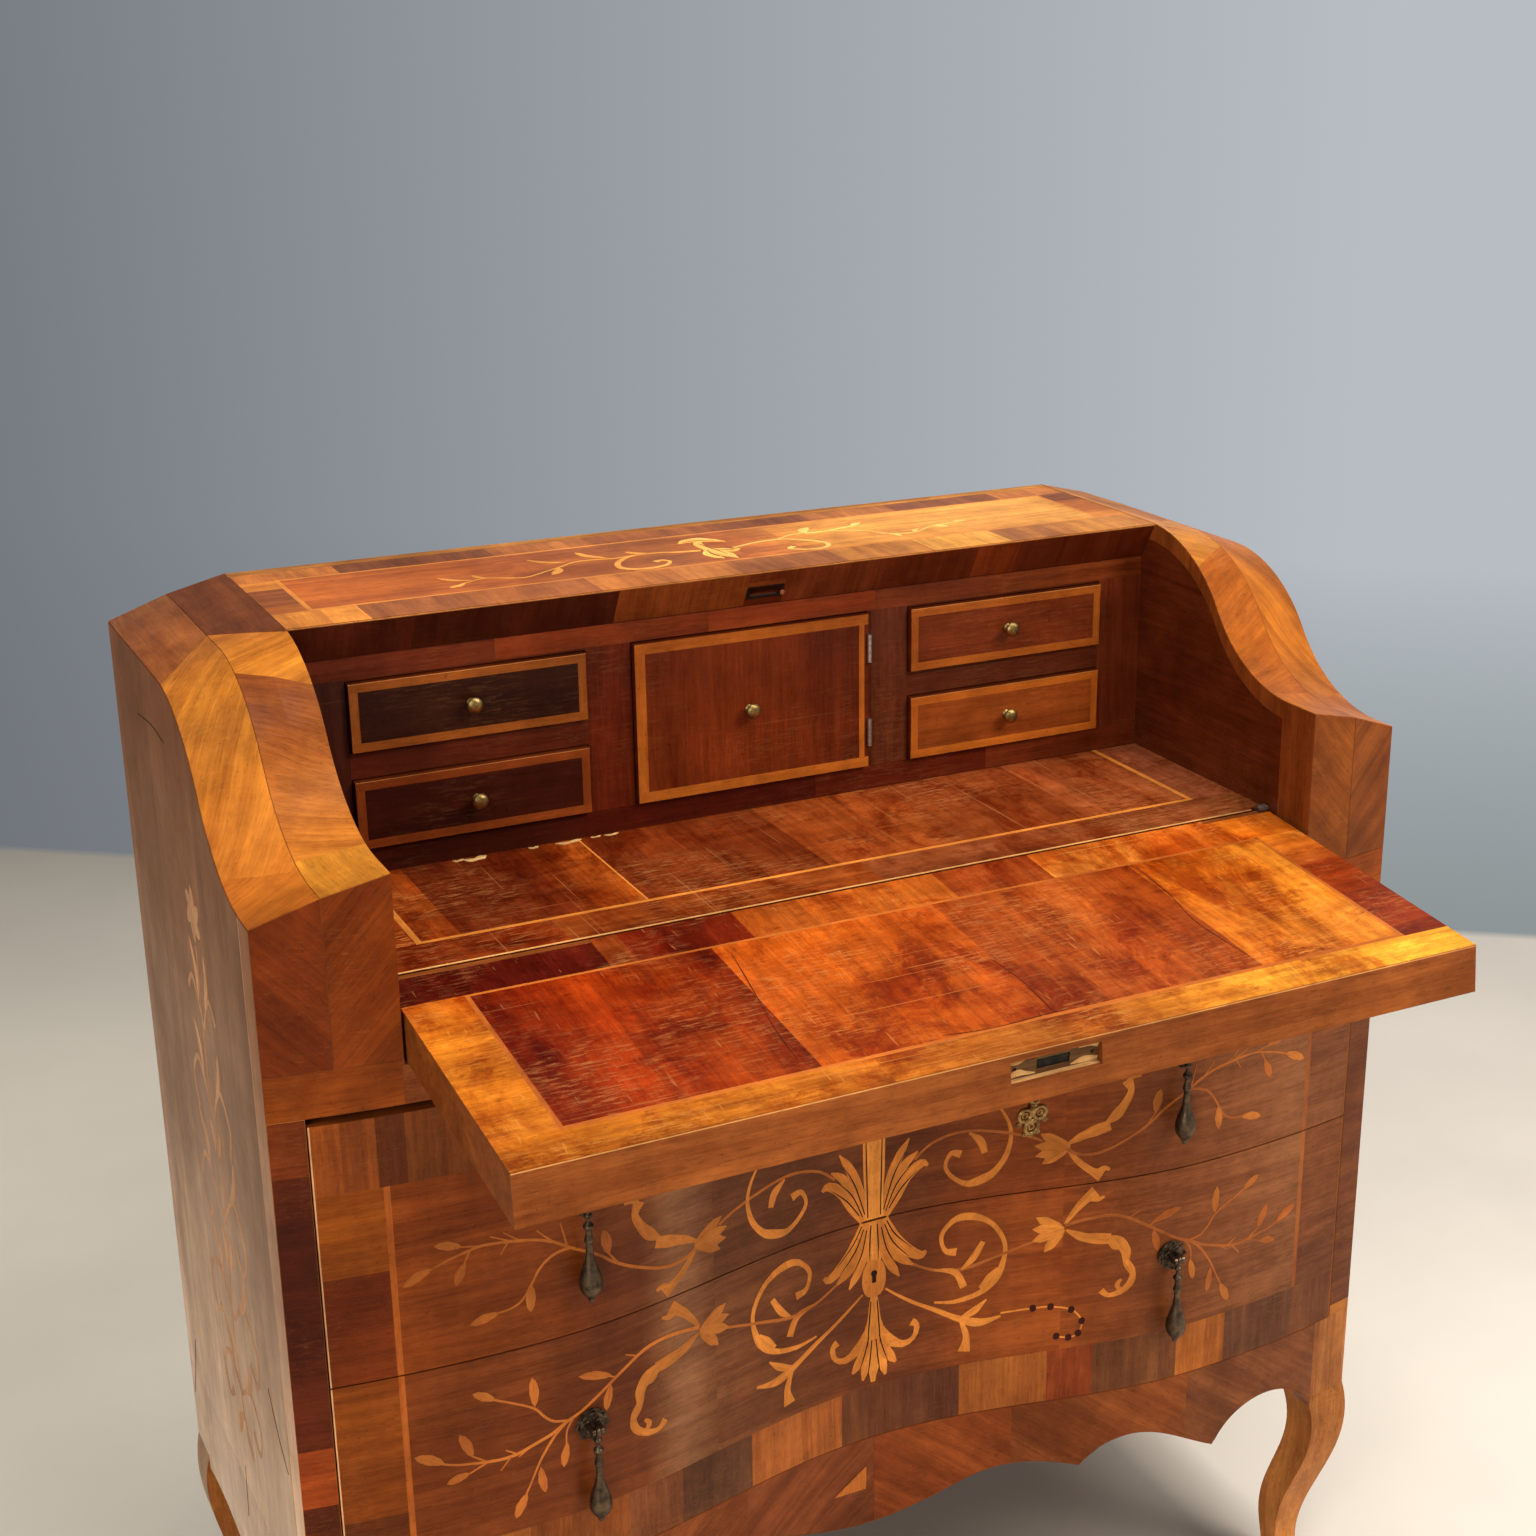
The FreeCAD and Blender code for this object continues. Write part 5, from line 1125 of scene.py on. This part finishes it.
def outer_face(sheet):
    """Bands and flower on the outer face of the fall, which the photograph hides."""
    low = FALL_LENGTH + FALL_LIP - 0.6
    near, far, half = 54, low - 46, 348.5   # edges of the field
    for v0, v1, gap in ((9, near, 0), (far, low, 6)):
        for k, (x0, x1) in enumerate(pairs((-FALL_EDGE, -300, -190, -70, 40, 150, 270, FALL_EDGE))):
            for a, b in clear_of(x0, x1, KEY - gap, KEY + gap) if gap else [(x0, x1)]:
                sheet.rect(under_fall, a, b, v0, v1, (CHESTNUT, AMBER)[k % 2], 90, material=veneer)
    for side in (-1, 1):
        for v0, v1, tone in ((near, 130, BROWN), (130, far, AMBER)):
            sheet.rect(under_fall, side * (half + 3.5), side * FALL_EDGE, v0, v1, tone, 0, material=veneer)
        sheet.rect(under_fall, side * half, side * (half + 3.5), near, far, LINE, 90, material=inlay)
    sheet.run(under_fall, ((-half, (122, 62, 30)), (-120, (112, 56, 30)), (120, (126, 64, 32)), (half, None)),
              near, far, 0, material=veneer)
    mid = (near + far) / 2
    for hand in (1, -1):
        flipped = mirrored(hand, 0, mid)
        sheet.strokes(under_fall, (
            ([(14, 0), (50, 26), (92, 34), (132, 16), (120, -14), (96, -8)], [1.6, 3.0, 2.2, 2.2, 1.8, 4.0]),
            ([(14, -6), (58, -36), (110, -44), (170, -22), (236, -6), (296, -20)], [1.6, 2.6, 1.8, 1.2, 0.8]),
            ([(170, -22), (200, 12), (232, 30)], [1.2, 1.0, 0.8])), LIGHT, flipped, material=inlay)
        for base, tip, wide in (
                ((232, 30), (252, 42), 4.5), ((200, 12), (194, 38), 4), ((236, -6), (250, 10), 4),
                ((296, -20), (316, -28), 4.5), ((262, -12), (272, -34), 4), ((60, -36), (64, -62), 4.5)):
            sheet.stroke(under_fall, straight(*flipped([base, tip])), [0.3, wide, wide, 0.2], LIGHT, 8, material=inlay)
    for k in range(8):
        turn = math.radians(45 * k)
        tip = (22 * math.cos(turn), mid + 22 * math.sin(turn))
        sheet.stroke(under_fall, straight((0, mid), tip), [1.2, 5.0, 5.5, 0.4], PALE, 8, material=inlay)


def lock_mortise():
    """Bare wood in the recess of the fall's lock, with a slot for the bolt."""
    def seat(x, down, lift):
        return own_fall(LOCK + x, -LOCK_SEAT - lift, -down)

    def ledge(x, out, lift):
        return own_fall(LOCK + x, -LOCK_SEAT - out, -22.9 + lift)

    sheet = Sheet("lock_mortise", "fall", raw, "plain_wood")
    end, slot, low, high = 38.2, 14, 6.2, 22.6
    for x0, x1, v0, v1 in ((-end, -slot, low, high), (slot, end, low, high), (-slot, slot, low, 10.4),
                           (-slot, slot, 18.4, high)):
        sheet.rect(seat, x0, x1, v0, v1, (104, 78, 52), 0, lift=0.6, sink=0.5)
    sheet.rect(ledge, -end, end, 0.2, 5.2, (212, 172, 122), 0, lift=0.4, sink=0.3)
    for x in (-32.5, 33):
        sheet.disc(seat, x, 14.4, 1.5, 1.5, INK, 0.75, dark_inlay)
    for points, widths in (([(-38, 20.4), (-30, 18.0), (-22, 19.6), (-15, 20.8)], [1.6, 2.8, 1.4, 0.4]),
                           ([(-38, 8.4), (-31, 9.4), (-24, 8.2)], [1.8, 1.6, 0.4]),
                           ([(38, 9.2), (30, 7.8), (21, 8.8)], [2.4, 1.4, 0.3]),
                           ([(38, 20.6), (26, 19.4), (15, 21.0)], [1.8, 2.6, 0.4])):
        sheet.stroke(seat, points, widths, (218, 180, 128), 12, 0.8, 0.4)
    sheet.make()


fall_veneer()
lock_mortise()


# Gallery: banded fronts

DOOR_LOW = 833.8
DOOR_TOP = 974.9
RED_BROWN = "red_brown_walnut"


def banded(row, hand, tone, edge):
    """Front of a small drawer."""
    name = row + "_" + hand + "_small"
    sheet = Sheet(name + "_veneer", "small_drawer_" + row + "_" + hand, veneer, RED_BROWN)
    x0, x1 = (-354, -153.8) if hand == "left" else (153.8, 354)
    z0, z1 = (DOOR_LOW, 891.3) if row == "lower" else (916.1, 973.6)
    width = 7.6
    for a, b, c, d, turn in ((x0, x1, z1 - width, z1 - 0.2, 0), (x0, x1, z0 + 0.2, z0 + width, 0),
                             (x0 + 0.2, x0 + width, z0 + width, z1 - width, 90),
                             (x1 - width, x1 - 0.2, z0 + width, z1 - width, 90)):
        sheet.rect(on_small, a + 0.2, b - 0.2, c, d, edge, turn, material=inlay)
    sheet.rect(on_small, x0 + width, x1 - width, z0 + width, z1 - width, tone, 0)
    # Pale line along the top edge: edge wear and a painted highlight.
    sheet.rect(on_small, x0 + 0.2, x1 - 0.2, z1 - 0.8, z1 - 0.2, (190, 128, 72), 0, lift=INLAY, material=inlay)
    sheet.make()


banded("lower", "left", (54, 18, 10), (122, 58, 23))
banded("upper", "left", (45, 19, 10), (132, 73, 28))
banded("lower", "right", (132, 65, 25), (172, 95, 32))
banded("upper", "right", (104, 45, 21), (150, 82, 29))


def door_veneer():
    """Banded door, its right band cut round the hinge barrels."""
    sheet = Sheet("door_veneer", "door", veneer, RED_BROWN)
    width, x0, x1 = 9.4, -110.8, 110.8
    low, high = DOOR_LOW + width, DOOR_TOP - width
    for a, b, c, d, turn in (
            (x0 + 0.2, x1 - 0.2, high, DOOR_TOP - 0.2, 0), (x0 + 0.2, x1 - 0.2, DOOR_LOW + 0.2, low, 0),
            (x0 + 0.2, x0 + width, low, high, 90), (x1 - width, x1 - 4.2, low, high, 90)):
        sheet.rect(on_small, a, b, c, d, (160, 89, 31), turn, material=inlay)
    tone = fade(((-100, (104, 42, 16)), (10, (102, 40, 15)), (100, (84, 32, 14))))
    sheet.rect(on_small, x0 + width, x1 - width, low, high, tone, 90, step=20)
    sheet.make()


door_veneer()


def gallery_veneer():
    """Frame round the small drawers and the door."""
    sheet = Sheet("gallery_veneer", "case", veneer, RED_BROWN)
    low, high = 832.2, 976.4                # openings
    sheet.run(on_frame, ((-BETWEEN, (88, 34, 15)), (-230, (112, 46, 18)), (-40, (124, 52, 21)), (120, (106, 48, 22)),
                         (250, (116, 56, 25)), (BETWEEN, None)), high, FASCIA_LOW - 0.6)
    sheet.run(on_frame, ((-BETWEEN, (62, 20, 10)), (-160, (71, 20, 9)), (60, (84, 28, 12)), (236, (98, 40, 18)),
                         (BETWEEN, None)), BED + 1, low)
    for x0, x1, tone in ((-BETWEEN, -355.6, (58, 24, 15)), (355.6, BETWEEN, (104, 46, 24)),
                         (-152.4, -112.4, (90, 31, 12)), (116, 152.4, (86, 40, 23))):
        sheet.rect(on_frame, x0, x1, low, high, tone, 90)
    for x0, x1, tone in ((-355.4, -152.6, (82, 32, 18)), (152.6, 355.4, (84, 38, 22))):
        sheet.rect(on_frame, x0, x1, 893.2, 914.4, tone, 0)
    sheet.make()


gallery_veneer()


# Turned and cast hardware

def solid(name, parts, material, body):
    """Piece made of parts of (points, faces)."""
    points, faces = [], []
    for some, more in parts:
        start = len(points)
        points += some
        faces += [tuple(start + k for k in face) for face in more]
    mesh = net(name, points, faces, [material])
    mesh.polygons.foreach_set("use_smooth", [True] * len(mesh.polygons))
    mesh.update()
    piece = added(name, mesh)
    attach(piece, body)
    return piece


def around(axis, turns):
    """Unit directions round an axis."""
    side = axis.orthogonal().normalized()
    other = axis.cross(side)
    angles = [2 * math.pi * k / turns for k in range(turns)]
    return [side * math.cos(angle) + other * math.sin(angle) for angle in angles]


def lathe(profile, base, axis, turns=28):
    """Turned shape; profile is (distance, radius) in millimetres, closed at its ends."""
    axis = axis.normalized()
    spokes = around(axis, turns)
    points = [base + (axis * distance + out * radius) * 0.001 for distance, radius in profile for out in spokes]
    faces = []
    for j in range(len(profile) - 1):
        for k in range(turns):
            a, b = j * turns + k, j * turns + (k + 1) % turns
            faces.append((a, b, b + turns, a + turns))
    faces.append(tuple(range(turns - 1, -1, -1)))
    faces.append(tuple((len(profile) - 1) * turns + k for k in range(turns)))
    return points, faces


def ring(centre, normal, radius, thick, turns=28, sides=10, flat=1.0):
    normal = normal.normalized()
    points, faces = [], []
    for out in around(normal, turns):
        for m in range(sides):
            turn = 2 * math.pi * m / sides
            reach = out * (radius + thick * math.cos(turn)) + normal * thick * flat * math.sin(turn)
            points.append(centre + reach * 0.001)
    for k in range(turns):
        for m in range(sides):
            a, b = k * sides + m, k * sides + (m + 1) % sides
            c, d = ((k + 1) % turns) * sides + m, ((k + 1) % turns) * sides + (m + 1) % sides
            faces.append((a, c, d, b))
    return points, faces


def petal(seat, angle, inner, outer, half, rise, tip):
    """Cupped petal of a rosette, from one radius to another and from one height to another."""
    out = Vector((math.cos(angle), 0, math.sin(angle)))
    across = Vector((-math.sin(angle), 0, math.cos(angle)))
    steps, thick = 6, 1.3
    points, faces = [], []
    for j in range(steps + 1):
        share = j / steps
        radius = inner + (outer - inner) * share
        wide = half * math.sin(math.pi * (0.18 + 0.8 * share)) ** 0.7
        height = rise + (tip - rise) * share ** 2
        for sunk in (0.0, thick):
            for m, bow in ((-1, 0.9), (-0.5, 0.2), (0, 0.0), (0.5, 0.2), (1, 0.9)):
                reach = out * radius + across * wide * m + Vector((0, -1, 0)) * (height + bow - sunk)
                points.append(seat + reach * 0.001)
    for a in range(0, steps * 10, 10):
        b = a + 10
        for m in range(4):
            faces.append((a + m, b + m, b + m + 1, a + m + 1))
            faces.append((a + m + 6, b + m + 6, b + m + 5, a + m + 5))
        faces += [(a, a + 5, b + 5, b), (a + 4, b + 4, b + 9, a + 9)]
    last = steps * 10
    faces += [(m, m + 1, m + 6, m + 5) for m in range(4)]
    faces += [(last + m + 5, last + m + 6, last + m + 1, last + m) for m in range(4)]
    return points, faces


def smooth_profile(points, count=48):
    return [(d, max(r, 0.05)) for d, r in curve(points, count)]


# Profiles of (distance, radius)
KNOB = [(0, 4.2), (1.3, 4.1), (1.9, 3.1), (3.0, 2.5), (5.0, 2.5), (6.2, 3.8), (7.2, 5.8), (8.6, 6.7), (10.0, 6.7),
        (11.4, 5.6), (12.5, 3.6), (13.0, 0.1)]
DROP = [(3.6, 2.0), (5.5, 2.0), (7.0, 3.2), (8.6, 3.4), (10.0, 2.0), (12.0, 1.8), (14.5, 2.8), (16.0, 4.0), (17.8, 4.2),
        (19.4, 3.0), (21.0, 2.4), (24.0, 2.6), (27.5, 3.6), (29.5, 3.7), (32.0, 2.7), (38.0, 2.9), (46.0, 4.2),
        (54.0, 6.8), (60.0, 8.5), (65.0, 9.1), (69.0, 8.6), (73.0, 6.8), (76.5, 4.0), (78.5, 2.6), (80.0, 2.4),
        (81.4, 1.6), (82.4, 0.1)]
SHANK = [(0, 2.8), (14, 2.8), (24, 2.8), (40, 2.7), (42, 4.4), (44, 4.6), (45.5, 3.0), (47, 3.0), (48.5, 4.2),
         (50, 3.0), (53, 2.2), (56, 2.0)]
PULL_AT = 275.0             # centre line to a pull

knobs = [(spot + "_small", "small_drawer_" + spot)
         for spot in ("upper_left", "upper_right", "lower_left", "lower_right")] + [("door", "door")]
for where, body in knobs:
    low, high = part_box(where + "_knob")
    base = Vector(((low.x + high.x) / 2, high.y, (low.z + high.z) / 2))
    turned = lathe(smooth_profile(KNOB), base, Vector((0, -1, 0)))
    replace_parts(solid(where + "_turned_knob", [turned], brass, body), where + "_knob")

for row in ("upper", "lower"):
    petals = []
    for hand in ("left", "right"):
        low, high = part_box(row + "_drop_" + hand)
        pivot = Vector(((low.x + high.x) / 2, (low.y + high.y) / 2, high.z - 0.0045))
        scale = (pivot.z - low.z) * 1000 / DROP[-1][0]
        profile = [(d * scale, r) for d, r in smooth_profile(DROP, 90)]
        parts = [lathe(profile, pivot, Vector((0, 0, -1)), 24), ring(pivot, Vector((1, 0, 0)), 3.2, 1.3, 24, 10, 1.4)]
        piece = solid(row + "_pear_drop_" + hand, parts, bronze, row + "_pull_" + hand)
        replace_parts(piece, row + "_drop_" + hand)
        # Cast flower round the rosette: two rows of petals
        seat = Vector((pivot.x, (front_y(PULL_AT) - ORIGIN_Y) * 0.001, pivot.z))
        for offset, sizes in ((0, (4.0, 14.2, 4.6, 1.4, 4.2)), (0.5, (3.0, 10.2, 3.4, 4.6, 6.4))):
            petals += [petal(seat, 2 * math.pi * (k + offset) / 8, *sizes) for k in range(8)]
    solid(row + "_rosette_flowers", petals, bronze, row + "_drawer")


def key_piece():
    """Key with a collared shank and a pierced bow of three rings, scrolls and a crest."""
    y = 24.0 - LOCK_SEAT
    down = (own_fall(KEY, y, -1) - own_fall(KEY, y, 0)).normalized()
    flat = (own_fall(KEY, y - 1, 0) - own_fall(KEY, y, 0)).normalized()
    middle = own_fall(KEY, y, 14.5 - FALL_THICK - SHANK[-1][0])

    def bow(across, up):
        return middle + (Vector((1, 0, 0)) * across + down * up) * 0.001

    parts = [lathe(smooth_profile(SHANK, 60), own_fall(KEY, y, -19.0), down)]
    for across, up, radius in ((-6.4, -5.4, 5.2), (6.4, -5.4, 5.2), (0, 5.6, 5.6)):
        parts.append(ring(bow(across, up), flat, radius, 1.7, 24, 8))
        parts.append(ring(bow(across, up), flat, radius * 0.42, 0.9, 16, 6))
    parts.append(ring(bow(0, -1.2), flat, 3.0, 1.6, 20, 8))
    for across, up, radius in ((-11.2, 1.6, 2.3), (11.2, 1.6, 2.3), (-5.6, 11.2, 2.0), (5.6, 11.2, 2.0),
                               (0, 12.6, 1.9)):
        parts.append(ring(bow(across, up), flat, radius * 0.55, radius * 0.5, 14, 8))
    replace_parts(solid("ornate_key", parts, key_brass, "key"), "fall_key")


key_piece()


# Floor, light and camera

EYE = (-0.8038, -1.5967, 1.4932)                                # camera, in metres
# Backdrop at the left and at the right: its brightening to the right is painted light.
WALL = ((0.175, 0.190, 0.212, 1), (0.475, 0.510, 0.545, 1))     # backdrop, left and right


def floor():
    """Pale floor that meets a blue-grey backdrop along a slanting line."""
    g = Finish("pale_floor")
    spot = g.node("ShaderNodeTexCoord").outputs["Object"]
    cloud = g.noise(spot, 1.6, 6, 0.6)
    grit = g.noise(spot, 90, 3, 0.6)
    far = g.vectors("DOT_PRODUCT", spot, (0.597, 0.802, 0.0))["Value"]
    off = g.vectors("SUBTRACT", spot, (-0.804, -1.597, 0.0))[0]
    right = g.rightward(g.vectors("NORMALIZE", off)[0])
    # Painted light on the floor: lighter towards the right; painted shade darkens it towards the backdrop, more at the
    # left.
    near = g.mix(right, (0.735, 0.668, 0.558, 1), (0.80, 0.725, 0.63, 1))
    near = g.times(near, g.ranged(cloud, 0.35, 0.65, 0.95, 1.04))
    shade = g.mix(right, (0.47, 0.47, 0.48, 1), (0.78, 0.78, 0.79, 1))
    near = g.tinted(g.ranged(far, 0.6, 1.93), near, shade)
    # Painted shadow: darker ground under the desk
    axes = g.node("ShaderNodeSeparateXYZ", ((0, spot),)).outputs
    across = g.ranged(g.sums("ABSOLUTE", axes[0], 0.0), 0.42, 0.50, 1.0, 0.0)
    deep = g.ranged(g.sums("ABSOLUTE", g.sums("SUBTRACT", axes[1], 0.11), 0.0), 0.12, 0.27, 1.0, 0.0)
    near = g.tinted(g.sums("MULTIPLY", across, deep), near, (0.40, 0.39, 0.38, 1))
    material = g.done(near, g.ranged(cloud, 0.3, 0.7, 0.55, 0.66), grit, 0.05)
    # Backdrop beyond the line: painted light, lighter at the right, with painted shade towards its foot, most at the
    # right.
    low = g.mix(right, (0.94, 0.94, 0.94, 1), (0.56, 0.58, 0.56, 1))
    wall = g.tinted(g.ranged(far, 1.9, 4.6, 1.0, 0.0), g.mix(right, *WALL), low)
    glow = g.node("ShaderNodeEmission", (("Color", wall),)).outputs[0]
    beyond = g.sums("MULTIPLY", g.ranged(far, 1.915, 1.945), g.seen())
    both = g.node("ShaderNodeMixShader", ((0, beyond), (1, g.shader.outputs[0]), (2, glow)))
    g.feed(g.out.inputs[0], both.outputs[0])
    size = 200.0
    corners = [(-size, -size, 0), (size, -size, 0), (size, size, 0), (-size, size, 0)]
    piece = added("floor", net("floor", corners, [(0, 1, 2, 3)], [material]))


def lamp(name, spot, target, size, power, colour):
    light = bpy.data.lights.new(name, "AREA")
    light.shape = "DISK"
    light.size = size
    light.energy = power
    light.color = colour
    made = added(name, light)
    made.location = spot
    made.rotation_euler = (Vector(target) - Vector(spot)).to_track_quat("-Z", "Y").to_euler()


def world():
    """Even light, with a blue-grey backdrop for the camera, for metal and for glass."""
    made = bpy.data.worlds.new("studio")
    bpy.context.scene.world = made
    g = Graph(made)
    light = g.node("ShaderNodeBackground", ((0, (0.96, 0.98, 1.0, 1)), (1, 0.28)))
    right = g.rightward(g.node("ShaderNodeTexCoord").outputs["Generated"])
    # Backdrop for the camera, painted lighter towards the right.
    backdrop = g.node("ShaderNodeBackground", ((0, g.mix(right, *WALL)),))
    both = g.node("ShaderNodeMixShader", ((0, g.seen()), (1, light.outputs[0]), (2, backdrop.outputs[0])))
    g.node("ShaderNodeOutputWorld", ((0, both.outputs[0]),))


def camera():
    """Camera at the place worked out from the photograph's edges."""
    yaw, pitch, roll = math.radians(28.180), math.radians(19.154), math.radians(0.146)
    ahead = Vector((math.sin(yaw) * math.cos(pitch), math.cos(yaw) * math.cos(pitch), -math.sin(pitch)))
    right = Vector((math.cos(yaw), -math.sin(yaw), 0))
    up = right.cross(ahead)
    right, up = (right * math.cos(roll) + up * math.sin(roll), up * math.cos(roll) - right * math.sin(roll))
    data = bpy.data.cameras.new("camera")
    data.sensor_width = 36.0
    data.lens = 54.14
    data.shift_x = -0.0788
    data.shift_y = 0.0160
    data.dof.use_dof = False
    made = added("camera", data)
    made.matrix_world = Matrix.Translation(EYE) @ Matrix((right, up, -ahead)).transposed().to_4x4()
    bpy.context.scene.camera = made


floor()
lamp("key_light", (2.7, -3.1, 4.3), (0.0, -0.1, 0.6), 2.2, 225, (1.0, 0.96, 0.9))
lamp("fill_light", (-3.6, -3.2, 2.6), (0.0, 0.0, 0.5), 2.8, 104, (1.0, 0.97, 0.93))
lamp("top_light", (0.3, -0.3, 5.0), (0.0, 0.0, 0.8), 2.4, 115, (1.0, 0.97, 0.92))
world()
camera()
bpy.context.scene.view_settings.view_transform = "Standard"
